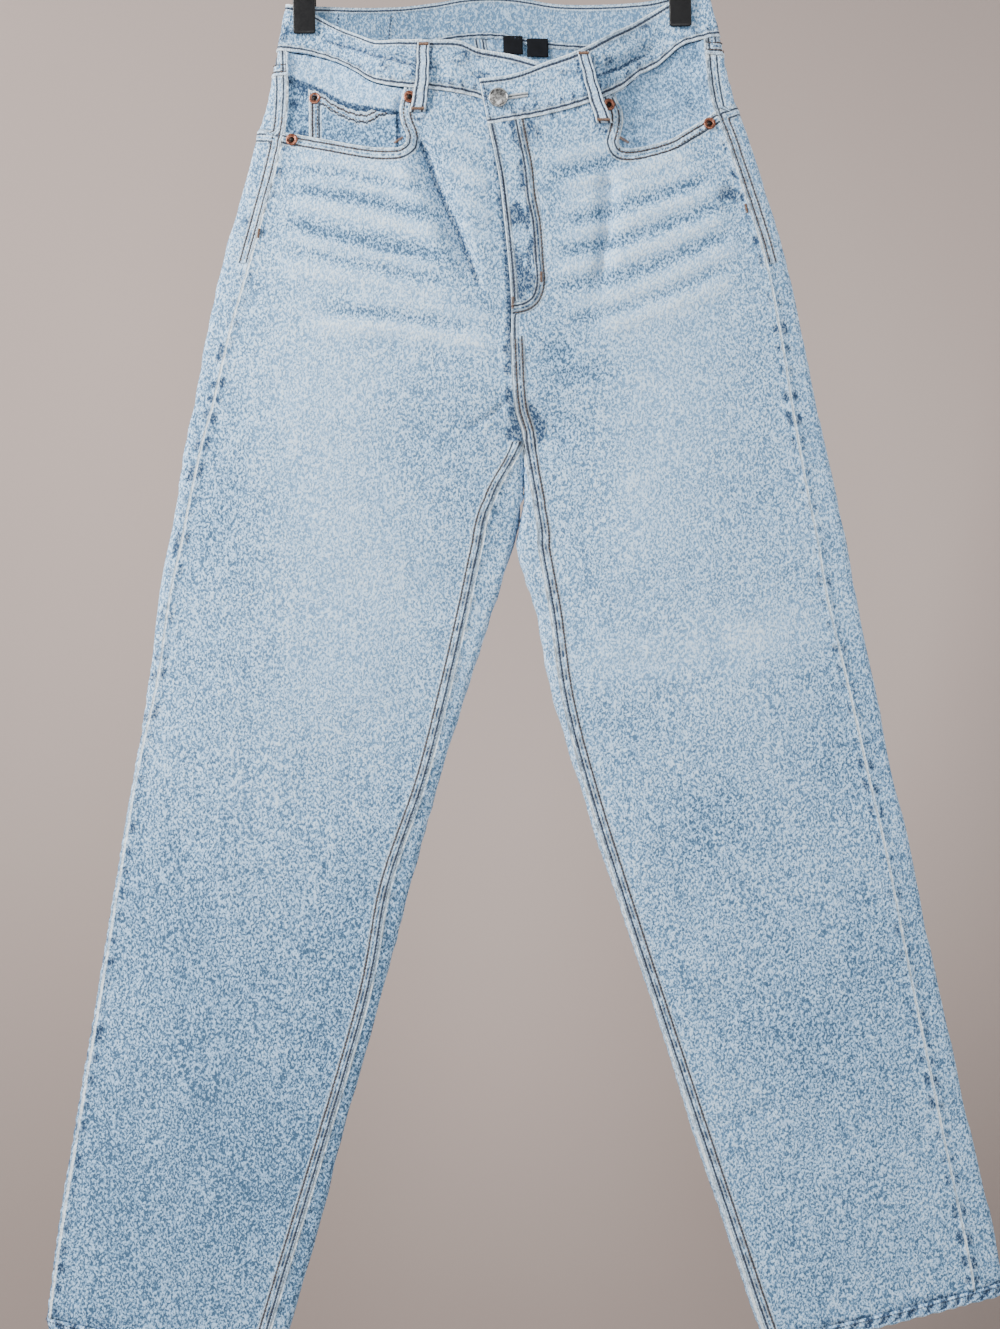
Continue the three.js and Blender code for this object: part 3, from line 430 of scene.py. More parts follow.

# %% [markdown]
# ## Where the denim is pale, dark and raised
# Stone washing leaves denim pale wherever it stood proud: on whiskers at the hips, on the thighs, on
# every seam's ridge. Between them the blue stays. It could be a painted picture. Listed lines and
# ovals are chosen, since the same whiskers can then also lift the surface a little.

# %% Whiskers and faded places
# line, half width, strength: above 0 pale and raised, below 0 blue and low
WHISKERS = (
    (((-177, -225), (-123, -231), (-61, -248)), 7, 0.8), (((-173, -240), (-115, -248), (-49, -266)), 6, 0.7),
    (((-182, -259), (-132, -269), (-41, -294)), 8, 0.9), (((-186, -285), (-141, -297), (-42, -321)), 7, 0.7),
    (((-191, -310), (-133, -322), (-26, -344)), 9, 0.6), (((-167, -362), (-84, -368), (3, -383)), 8, 0.9),
    (((-133, -342), (-67, -350), (-1, -363)), 6, 0.5), (((-173, -233), (-123, -239), (-57, -256)), 5, -0.6),
    (((-177, -249), (-124, -258), (-37, -281)), 5, -0.8),
    (((-182, -272), (-132, -291), (-33, -313)), 6, -1.0),
    (((-182, -298), (-133, -309), (-34, -334)), 6, -0.5), (((-150, -350), (-84, -358), (-18, -374)), 6, -0.6),
    (((-48, -207), (-27, -213), (-8, -225)), 5, 0.6), (((-44, -232), (-24, -241), (-6, -254)), 6, 0.8),
    (((-39, -257), (-20, -268), (-4, -280)), 6, 0.6), (((-33, -282), (-16, -291), (-2, -299)), 5, 0.5),
    (((39, -234), (84, -222), (126, -215)), 6, 0.7), (((44, -255), (92, -246), (167, -224)), 6, 0.8),
    (((42, -273), (92, -260), (175, -236)), 6, 0.6), (((42, -296), (100, -285), (187, -253)), 7, 0.8),
    (((37, -322), (99, -312), (195, -278)), 8, 0.9), (((49, -350), (115, -339), (207, -299)), 8, 0.7),
    (((73, -371), (132, -356), (198, -328)), 8, 0.7), (((41, -245), (88, -235), (151, -217)), 5, -0.6),
    (((50, -285), (96, -274), (179, -246)), 5, -0.7), (((41, -309), (100, -299), (196, -266)), 6, -0.8),
    (((39, -337), (107, -326), (201, -289)), 6, -0.7), (((49, -364), (115, -350), (199, -314)), 6, -0.5),
    (((31, -389), (48, -389), (61, -386)), 8, -0.7), (((39, -408), (81, -405), (97, -413)), 9, -0.4),
)
# centre x and z, half length across and down, turn in degrees, strength
FRONT_FADES = (
    (-141, -491, 58, 124, 8, 1.0), (-122, -624, 62, 91, 15, 0.45), (130, -455, 50, 141, -12, 0.7),
    (193, -630, 71, 23, 8, 1.0), (93, -649, 37, 21, -10, 0.5), (115, -372, 50, 42, 20, 0.4),
    (-101, -401, 75, 33, 5, 0.5), (-173, -673, 50, 50, 0, 0.2), (-71, -559, 42, 50, 0, 0.3),
    (-240, -481, 29, 100, 10, -0.5), (-234, -622, 33, 58, 0, -0.3), (47, -453, 37, 75, 0, -0.6),
    (-29, -510, 25, 66, 10, -0.4), (117, -687, 50, 29, 5, -0.5), (157, -763, 58, 33, 0, -0.4),
    (274, -723, 33, 100, -10, -0.6), (173, -813, 50, 66, 0, -0.5), (279, -889, 50, 100, -10, -0.5),
    (-277, -879, 33, 133, 10, -0.4), (-222, -1071, 75, 75, 0, -0.7), (-339, -1085, 33, 75, 0, -0.6),
    (220, -963, 66, 42, -10, -0.5), (275, -1097, 75, 66, 0, -0.2), (233, -1146, 50, 33, 0, -0.5),
    (-61, -451, 33, 50, 0, -0.2), (222, -399, 17, 66, -8, -0.3), (70, -545, 25, 58, 0, -0.4),
    (-158, -342, 50, 50, 0, 0.3),
)
BACK_FADES = (
    (-105, -300, 70, 75, 0, 0.9), (108, -302, 70, 75, 0, 0.9), (-150, -560, 60, 110, 8, 0.4),
    (150, -570, 60, 110, -8, 0.4), (-190, -780, 60, 40, 0, -0.5), (195, -790, 60, 40, 0, -0.5),
    (-270, -1050, 70, 90, 8, -0.5), (280, -1060, 70, 90, -8, -0.4),
)


def fade_at(front, x, z):
    """How pale the cloth is at each place: 0 as dyed and washed, 1 bleached, below 0 bluer."""
    total = np.zeros(np.shape(x))
    for fades, here in ((FRONT_FADES, front), (BACK_FADES, ~front)):
        for cx, cz, across, down, turn, strength in fades:
            a = math.radians(turn)
            u = ((x - cx) * math.cos(a) + (z - cz) * math.sin(a)) / across
            v = (-(x - cx) * math.sin(a) + (z - cz) * math.cos(a)) / down
            total += np.where(here, strength * np.exp(-(u * u + v * v)), 0)
    return total


WHISKER_LINES = [(curve(line, 4), wide, strength) for line, wide, strength in WHISKERS]


def whisker_at(front, x, z):
    total = np.zeros(np.shape(x))
    for line, wide, strength in WHISKER_LINES:
        add_along(total, x, z, front, line, wide, strength)
    return total


# %% Pocket mouths and the fly, as lines on the front
MOUTH_LEFT_DOWN = curve([(-76, -160), (-76.5, -171), (-79, -181), (-80.5, -190), (-79, -200), (-75.5, -209),
                         (-76, -215)], 5)
MOUTH_LEFT_OUT = curve([(-76, -215), (-81, -218.5), (-88, -219), (-104, -217.5), (-124, -213.5),
                        (-150, -207.5), (-182, -200.5), (-215, -196)], 5)
MOUTH_RIGHT_DOWN = curve([(95, -160), (97, -178), (102.5, -190), (103.5, -200), (101.5, -210),
                          (99, -217.5)], 5)
MOUTH_RIGHT_OUT = curve([(99, -217.5), (101, -221.5), (107, -222.8), (120, -221), (143, -214.5),
                         (156, -207), (170, -198.5), (186, -189), (222, -176)], 5)
MOUTH_LEFT = np.concatenate([MOUTH_LEFT_DOWN, MOUTH_LEFT_OUT[1:]])
MOUTH_RIGHT = np.concatenate([MOUTH_RIGHT_DOWN, MOUTH_RIGHT_OUT[1:]])
J_STITCH = curve([(20.5, -198), (24, -218), (27.5, -237), (29.6, -261), (33.4, -283), (35, -312),
                  (36, -331), (33, -344), (27, -351.5), (19, -355.5), (10, -357)], 5)
FLY_EDGE = curve([(-8, -202), (-4, -218), (-1, -240), (1.5, -264), (6, -302), (8, -330), (9, -358)], 5)


def inside_mouth(half, x, z):
    """Above 0 inside the pocket mouth, in mm from its edge, and below 0 outside it."""
    down, out = (MOUTH_LEFT_DOWN, MOUTH_LEFT_OUT) if half is LEFT else (MOUTH_RIGHT_DOWN, MOUTH_RIGHT_OUT)
    distance, _ = along_line(x, z, np.concatenate([down, out[1:]]))
    outer = half["sign"] * x
    lower_edge = np.interp(outer, half["sign"] * out[:, 0], out[:, 1])
    inner_side = half["sign"] * np.interp(-z, -down[:, 1], down[:, 0])
    inside = (outer > inner_side) & (z > lower_edge)
    return np.where(inside, distance, -distance)


FRONT_LOOPS = {"left": ((-59, -134), (-65, -191)), "right": ((70, -144), (88, -203))}


def loop_shade_and_dye(half, x, z):
    """Painted shade along both sides of the belt loops, and the blue that the wash leaves there."""
    distance, _ = along_line(x, z, FRONT_LOOPS[half["name"]])
    return 0.8 * bell(distance - 6.0, 1.3)


# dark patches that the wash left: centre x and z, half length across and down, strength
STAINS = (
    (24, -211, 11, 12, 1.3), (15, -277, 9, 9, 1.5), (20, -330, 10, 17, 1.7), (16, -442, 9, 11, 2.2),
    (27, -452, 8, 10, 1.5), (20, -468, 6, 12, 1.2), (5, -455, 6, 8, 0.9),
    (30, -262, 5, 12, 0.6), (29, -300, 5, 10, 0.7), (-91, -207, 10, 14, 0.5), (190, -262, 9, 14, 0.8),
    (-207, -282, 6, 14, 0.7), (11, -300, 4, 10, 0.6), (-2, -236, 4, 9, 0.5), (16, -395, 6, 12, 0.6),
)
# creases: line, depth, half width, and how much painted shade darkens them
CREASES = [(curve(line, 5), deep, wide, shade) for line, deep, wide, shade in (
    (((-72, -197), (-59, -226), (-49, -254), (-35, -287), (-25, -314), (-13, -345)), 2.0, 2.4, 0.85),
    (((92, -236), (93, -265), (88, -298), (82, -331)), 1.3, 2.6, 0.22),
    (((24, -352), (34, -362), (45, -368)), 0.9, 1.6, 0.4),
    (((20, -360), (27, -374), (38, -384)), 0.9, 1.6, 0.4),
    (((34, -347), (46, -352), (60, -352)), 0.7, 1.6, 0.3),
    (((8, -425), (-10, -440), (-34, -452)), 1.4, 3.0, 0.3),
    (((24, -428), (40, -446), (52, -470)), 1.2, 3.0, 0.3),
)]


def crease_at(front, x, z):
    deep, dark = np.zeros(np.shape(x)), np.zeros(np.shape(x))
    for line, depth, wide, shade in CREASES:
        add_along(deep, x, z, front, line, wide, depth)
        # the second stroke paints shade along the crease
        add_along(dark, x, z, front, line, wide * 0.85, shade)
    return deep, dark


def stain_at(front, x, z, points):
    total = np.zeros(np.shape(x))
    for cx, cz, across, down, strength in STAINS:
        total += np.where(front, strength * np.exp(-(((x - cx) / across) ** 2) - ((z - cz) / down) ** 2), 0)
    return np.clip(total * (0.75 + 0.9 * soft_noise(points, 7.0)), 0, 1)


# %% What the seams need to know about each place
ROW_INSETS = (3.1, 8.7)
ROWS_REACH = 12
NO_ROW = 20.0
NO_SEAM = 99
HIP_ROWS_FROM, HIP_ROWS_END = 1.4, 3.05
FLY_ROWS_END = 4.0
FLY_TOP_Z, FLY_FOOT_Z = -198, -357
WAIST_ROW_MM = 42
LEG_ROW_MM = 28


def seam_ground(half, reach, q, points):
    """Distances, faces and the waves of the puckers at each place."""
    side, inseam, middle = seam_places(half, reach, q)
    x, z, front = points[..., 0], points[..., 2], points[..., 1] < 0
    q = np.broadcast_to(q, np.shape(x)).astype(float)
    wobble = 2.2 * soft_noise(points, 31.0, 5.0)
    return SimpleNamespace(
        half=half, points=points, x=x, z=z, q=q, front=front, side=side, inseam=inseam, middle=middle,
        wobble=wobble,
        up_wave=np.sin(z / 1.75 + wobble) * (0.6 + 0.4 * soft_noise(points, 23.0, 9.0)),
        across_wave=np.sin(x / 1.7 + wobble),
        blotch=np.clip(0.45 + 0.75 * np.sin(z / 3.1 + 1.8 * wobble) + 0.5 * soft_noise(points, 9.0), 0, 1),
        felled=(inseam > 0) & (q > CROTCH_ROW),
        rise=((q > FLY_END_ROW) | ~front) & (q < CROTCH_ROW + 0.2))


def darken(look, shade):
    look.dark = np.maximum(look.dark, shade)


def drape(at):
    """Slow undulations and, at the hips, finer crumples, that die out under the waistband."""
    slow = 1.1 * soft_noise(at.points, 74.0) + 0.55 * soft_noise(at.points, 29.0, 3.0)
    slow += 0.2 * soft_noise(at.points, 11.0)
    crumple = 0.3 * soft_noise(at.points, 12.0, 7.0) + 0.16 * soft_noise(at.points, 6.0, 4.0)
    return (slow + (1 - smooth(at.q, 3.0, 5.5)) * crumple) * smooth(at.q, 0.05, 0.8)


# %% Seams, one kind at a time
def long_seams(at, look):
    """Side seams and inseams: a ridge, puckers beside it and blotches of blue."""
    edge, inside, puckers = np.abs(at.side), np.abs(at.inseam), 1 + at.up_wave
    look.lift += 0.9 * bell(at.side, 1.5) + 0.7 * bell(at.side, 7) * puckers
    look.lift += 0.9 * bell(at.inseam, 1.5) + 0.45 * bell(at.inseam, 8) * puckers
    look.lift += np.where(at.felled, 0.7 * (1 - smooth(inside, 8.0, 9.6)), 0)
    patchy = np.clip(0.25 + 1.3 * soft_noise(at.points, 34.0, 6.0), 0, 1)
    darken(look, at.blotch * (0.45 + 0.55 * patchy) * bell(edge - 3.8, 2.8))
    darken(look, at.blotch * bell(inside - 5, 3.4) * np.where(at.felled, 1.0, 0.3))
    look.seam = np.minimum(edge, np.where(at.q > CROTCH_ROW, inside, NO_SEAM))


def rise_seam(at, look):
    """The felled middle seam, with slanting puckers like rungs between its two rows in front."""
    felled = 0.8 * bell(at.middle, 1.5) + 0.8 * (1 - smooth(at.middle, 8.5, 10.2))
    rung = np.sin((at.z + 0.7 * at.x) / 1.15 + 1.5 * at.wobble)
    between_rows = np.where(at.rise & at.front & (at.half is RIGHT), bell(at.middle - 6, 2.6), 0)
    look.lift += np.where(at.rise, felled, 0) + 0.35 * between_rows * rung
    darken(look, np.where(at.rise, at.blotch * bell(at.middle - 4.5, 3.4), 0))
    darken(look, between_rows * np.clip(0.25 - rung, 0, 1) * 0.8)
    look.seam = np.minimum(look.seam, np.where(at.rise, at.middle, NO_SEAM))


def hem_and_waist(at, look):
    """Puckers where the hem and the waistband are sewn on."""
    to_hem, to_waist = (HEM_TOP_ROW - at.q) * LEG_ROW_MM, at.q * WAIST_ROW_MM
    look.lift += (0.35 * bell(to_hem, 8) + 0.4 * bell(to_waist, 9)) * at.across_wave
    darken(look, 0.5 * at.blotch * bell(to_hem, 9))
    spots = np.clip(0.5 + at.across_wave + soft_noise(at.points, 8.0), 0, 1)
    darken(look, 0.55 * bell(to_waist, 9) * spots)


def pocket_mouth(at, look):
    """A turned edge sewn twice: a welt, its puckers and the hollows of its rows."""
    at.from_mouth = -inside_mouth(at.half, at.x, at.z)
    at.mouth_side = at.front & (at.q < 3) & (at.from_mouth > -0.5)
    welt = np.where(at.mouth_side, 1 - smooth(at.from_mouth, 8.5, 10.5), 0)
    look.lift += welt * (0.7 + 0.25 * np.sin(at.x / 1.6 + 3 * at.wobble))
    hollows = sum(bell(at.from_mouth - inset, 1.0) for inset in ROW_INSETS)
    look.lift += np.where(at.mouth_side, 0.5 * bell(at.from_mouth, 1.6) - 0.35 * hollows, 0)
    pucker = np.clip(np.sin(at.x / 1.1 + 2 * at.wobble) - 0.1, 0, 1)
    darken(look, 0.7 * welt * bell(at.from_mouth - 6, 2.4) * pucker)
    look.seam = np.minimum(look.seam, np.where(at.mouth_side, at.from_mouth, NO_SEAM))


def fly_front(at, look):
    """The fly on the right front: a raised plate inside the J, with cords beside its rows."""
    distance, _ = along_line(at.x, at.z, J_STITCH)
    inside_j = at.x < np.interp(-at.z, -J_STITCH[:, 1], J_STITCH[:, 0])
    at.from_j = np.where(inside_j, distance, -distance)
    under = at.front & (at.z > FLY_FOOT_Z) & (at.q < 4.2) & inside_j
    upper = at.front & (at.q < FLY_ROWS_END)
    edge = np.where(at.front & (at.q < 4.1), at.middle, NO_SEAM)
    streaks = np.clip(0.25 + 1.9 * soft_noise(at.points * [1, 1, 0.22], 2.6, 2.0), 0, 1)
    corded = np.where(under & upper, smooth(distance, 0.8, 2.0) * (1 - smooth(distance, 11, 15)), 0)
    look.lift += 1.1 * np.where(under, smooth(distance, 0, 3.0), 0) + 0.7 * bell(edge, 2.2)
    look.lift += 0.4 * corded * (0.5 - streaks) - np.where(at.front, 0.5 * bell(distance, 1.6), 0)
    darken(look, 0.95 * corded * streaks)
    darken(look, np.where(upper, 0.7 * bell(at.middle - 2.6, 1.1), 0))
    look.seam = np.minimum(look.seam, edge)


def fly_bed(at, look):
    """The left front dips under the fly and stays blue there."""
    beside = np.where(at.front & (at.q < 4.4), at.middle, NO_SEAM)
    look.lift -= 1.2 * bell(beside, 3.5)
    darken(look, np.where(at.z < -255, 0.9, 0.5) * bell(beside, 4))


# %% Rows of stitches, and everything together
def sewn_rows(at):
    """How far each place is from the sewn edge that its rows follow. NO_ROW where there is none."""
    sewn_half = at.front if at.half is RIGHT else ~at.front
    edges = [
        np.where((at.q < HIP_ROWS_END) & (at.side < 0), -at.side, NO_ROW),
        np.where(at.felled, at.inseam, NO_ROW),
        np.where(at.rise & sewn_half, at.middle, NO_ROW),
        np.where(at.mouth_side, at.from_mouth, NO_ROW)]
    edges = [np.where((edge > 0) & (edge < ROWS_REACH), edge, NO_ROW) for edge in edges]
    if at.half is RIGHT:
        on_edge = at.front & (at.q < FLY_ROWS_END) & (at.middle > 0) & (at.middle < 6)
        fly = np.where(on_edge, at.middle, NO_ROW)
        beside_j = at.front & (at.z > FLY_FOOT_Z - 1) & (at.z < FLY_TOP_Z)
        beside_j = beside_j & (at.from_j > -2.5) & (at.from_j < 8)
        edges.append(np.where(beside_j, at.from_j + ROW_INSETS[0], fly))
    return np.min(edges, axis=0)


def seam_look(half, reach, q, points):
    """For each place the lift of the surface, and the marks that the material reads: how pale the
    cloth is, how near the edge of a seam and its rows are, and how dark it is, from blotches of blue
    and from painted shade in the creases and beside the belt loops."""
    at = seam_ground(half, reach, q, points)
    look = SimpleNamespace(lift=drape(at), dark=np.zeros(np.shape(at.x)))
    for add_seam in (long_seams, rise_seam, hem_and_waist, pocket_mouth,
                     fly_front if half is RIGHT else fly_bed):
        add_seam(at, look)
    whisker = whisker_at(at.front, at.x, at.z)
    deep, shaded = crease_at(at.front, at.x, at.z)
    look.lift += 1.5 * whisker - deep
    # painted shade beside the belt loops and along the creases, and the stains the wash left
    for shade in (np.where(at.front, loop_shade_and_dye(half, at.x, at.z), 0), shaded,
                  stain_at(at.front, at.x, at.z, at.points)):
        darken(look, shade)
    # towards the hems the legs are made darker and bluer, the left leg more, and the right leg is paler
    # overall
    low_leg = smooth(-at.z, 680, 940)
    fade = 0.9 * fade_at(at.front, at.x, at.z) + 2.2 * whisker
    fade += np.where(at.x > 0, 0.3 - 0.5 * low_leg, 0.1 - 1.0 * low_leg)
    above_hem = smooth(HEM_ROW - at.q, 0.0, 0.6)
    return look.lift * above_hem, {"fade": fade, "seam": look.seam, "dark": look.dark, "row": sewn_rows(at)}


def cloth(half, reach, q, lift=0.0):
    """Finished outer surface: points, normals and the marks that the material reads."""
    points, normals = cloth_frame(half, reach, q)
    rise, marks = seam_look(half, reach, q, points)
    return points + normals * (rise + lift)[..., None], normals, marks


print("a raised point of the left hip:", cloth(LEFT, np.array([90.0]), np.array([2.0]))[0].round(1))

# %% [markdown]
# ## A thin shell with two faces
# A sheet of cloth is a grid of outer points, the same points moved in by its thickness, and an edge
# that joins them. Where a pocket mouth is cut out, the squares inside it are left out and the points
# along the cut are drawn onto its line, which gives a clean edge without a boolean.

# %% Mesh helpers
def make_object(name, mesh, material):
    mesh.materials.append(material)
    piece = bpy.data.objects.new(name, mesh)
    bpy.context.collection.objects.link(piece)
    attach(piece, "root")
    return piece


def fill_mesh(name, points, faces, marks=None):
    """A smooth-shaded mesh in metres from points in mm, with its marks as attributes."""
    mesh = bpy.data.meshes.new(name)
    mesh.from_pydata((np.asarray(points) * MM).tolist(), [], faces)
    mesh.polygons.foreach_set("use_smooth", np.ones(len(mesh.polygons), bool))
    for mark, values in (marks or {}).items():
        layer = mesh.attributes.new(mark, "FLOAT", "POINT")
        layer.data.foreach_set("value", np.asarray(values, np.float32).ravel())
    mesh.validate()
    return mesh


def shell(name, points, normals, wall, material, marks=None, keep=None, wrap=False):
    """A closed thin shell on a grid of outer points."""
    rows, columns = points.shape[:2]
    spans = columns if wrap else columns - 1
    i, j = np.meshgrid(np.arange(rows - 1), np.arange(spans), indexing="ij")
    after = (j + 1) % columns
    a, b, c, d = i * columns + j, i * columns + after, (i + 1) * columns + after, (i + 1) * columns + j
    kept = np.ones(a.shape, bool) if keep is None else keep
    quads = np.stack([a[kept], b[kept], c[kept], d[kept]], axis=-1)
    middle = len(quads) // 2
    corner = points.reshape(-1, 3)[quads[middle]]
    turned = np.dot(np.cross(corner[1] - corner[0], corner[2] - corner[0]),
                    normals.reshape(-1, 3)[quads[middle][0]]) < 0
    if turned:
        quads = quads[:, ::-1]
    count = rows * columns
    edges = np.concatenate([quads[:, [k, (k + 1) % 4]] for k in range(4)])
    key = edges[:, 0].astype(np.int64) * count + edges[:, 1]
    back_key = edges[:, 1].astype(np.int64) * count + edges[:, 0]
    rim = edges[~np.isin(key, back_key)]
    walls = np.stack([rim[:, 1], rim[:, 0], rim[:, 0] + count, rim[:, 1] + count], axis=-1)
    faces = np.concatenate([quads, quads[:, ::-1] + count, walls])
    flat_points = points.reshape(-1, 3)
    both = np.concatenate([flat_points, flat_points - normals.reshape(-1, 3) * wall])
    used = np.unique(faces)
    renumber = np.zeros(2 * count, np.int64)
    renumber[used] = np.arange(len(used))
    layers = {key: np.concatenate([np.ravel(v), np.ravel(v)])[used] for key, v in (marks or {}).items()}
    layers["inner"] = np.concatenate([np.zeros(count), np.ones(count)])[used]
    mesh = fill_mesh(name, both[used], renumber[faces].tolist(), layers)
    return make_object(name, mesh, material)


# %% [markdown]
# ## Washed denim
# Indigo yarn lies over a white weft. Stone washing takes the blue off what stands proud, so close up
# the cloth is a fine crackle of pale threads on blue grey, on a diagonal twill. It could be a tiled
# picture of cloth, but tiles repeat. So the material reads five marks from the mesh: fade, seam, dark,
# row and inner, the inside face. The rest is noise at the size of the yarn.

# %% Shader helpers
def math_node(tree, operation, a, b=None, clamp=False):
    made = tree.nodes.new("ShaderNodeMath")
    made.operation = operation
    made.use_clamp = clamp
    for socket, value in zip(made.inputs, (a, b)):
        if value is None:
            continue
        if isinstance(value, (int, float)):
            socket.default_value = value
        else:
            tree.links.new(value, socket)
    return made.outputs[0]


def remap(tree, value, low, high, to_low=0.0, to_high=1.0):
    made = tree.nodes.new("ShaderNodeMapRange")
    made.interpolation_type = "SMOOTHSTEP"
    made.inputs["From Min"].default_value = low
    made.inputs["From Max"].default_value = high
    made.inputs["To Min"].default_value = to_low
    made.inputs["To Max"].default_value = to_high
    tree.links.new(value, made.inputs["Value"])
    return made.outputs["Result"]


def blend_colour(tree, share, a, b):
    made = tree.nodes.new("ShaderNodeMix")
    made.data_type = "RGBA"
    made.clamp_factor = True
    if isinstance(share, (int, float)):
        made.inputs["Factor"].default_value = share
    else:
        tree.links.new(share, made.inputs["Factor"])
    for socket, value in ((made.inputs[6], a), (made.inputs[7], b)):
        if isinstance(value, tuple):
            socket.default_value = (*value, 1.0)
        else:
            tree.links.new(value, socket)
    return made.outputs[2]


def mark(tree, name):
    made = tree.nodes.new("ShaderNodeAttribute")
    made.attribute_name = name
    return made.outputs["Fac"]


def placed(tree, turn=(0, 0, 0), scale=(1, 1, 1)):
    """The place on the object, turned and stretched."""
    coordinates = tree.nodes.new("ShaderNodeTexCoord")
    mapping = tree.nodes.new("ShaderNodeMapping")
    mapping.inputs["Rotation"].default_value = turn
    mapping.inputs["Scale"].default_value = scale
    tree.links.new(coordinates.outputs["Object"], mapping.inputs["Vector"])
    return mapping.outputs["Vector"]


def noise(tree, vector, scale, detail=2.0, rough=0.5, distort=0.0):
    made = tree.nodes.new("ShaderNodeTexNoise")
    made.inputs["Scale"].default_value = scale
    made.inputs["Detail"].default_value = detail
    made.inputs["Roughness"].default_value = rough
    made.inputs["Distortion"].default_value = distort
    tree.links.new(vector, made.inputs["Vector"])
    return made.outputs["Fac"]


def fine_relief(tree, shader, height, strength, depth):
    """Relief finer than the mesh, up to a depth in metres."""
    bump = tree.nodes.new("ShaderNodeBump")
    bump.inputs["Strength"].default_value = strength
    bump.inputs["Distance"].default_value = depth
    tree.links.new(height, bump.inputs["Height"])
    tree.links.new(bump.outputs["Normal"], shader.inputs["Normal"])


def new_material(name):
    material = bpy.data.materials.new(name)
    material.use_nodes = True
    tree = material.node_tree
    shader = tree.nodes["Principled BSDF"]
    return material, tree, shader


# %% Denim
BLUE = (0.055, 0.115, 0.20)
WASHED = (0.175, 0.335, 0.54)
PALE = (0.43, 0.65, 0.92)
BLEACHED = (0.70, 0.86, 1.0)
# deep blue for the wash's blotches and for painted shade
DYE_AND_SHADE_BLUE = (0.018, 0.042, 0.095)
WEFT = (0.80, 0.90, 0.96)
# painted shade in the groove under each row of stitches
STITCH_GROOVE_SHADE = (0.035, 0.04, 0.055)
INSIDE = (0.10, 0.20, 0.33)


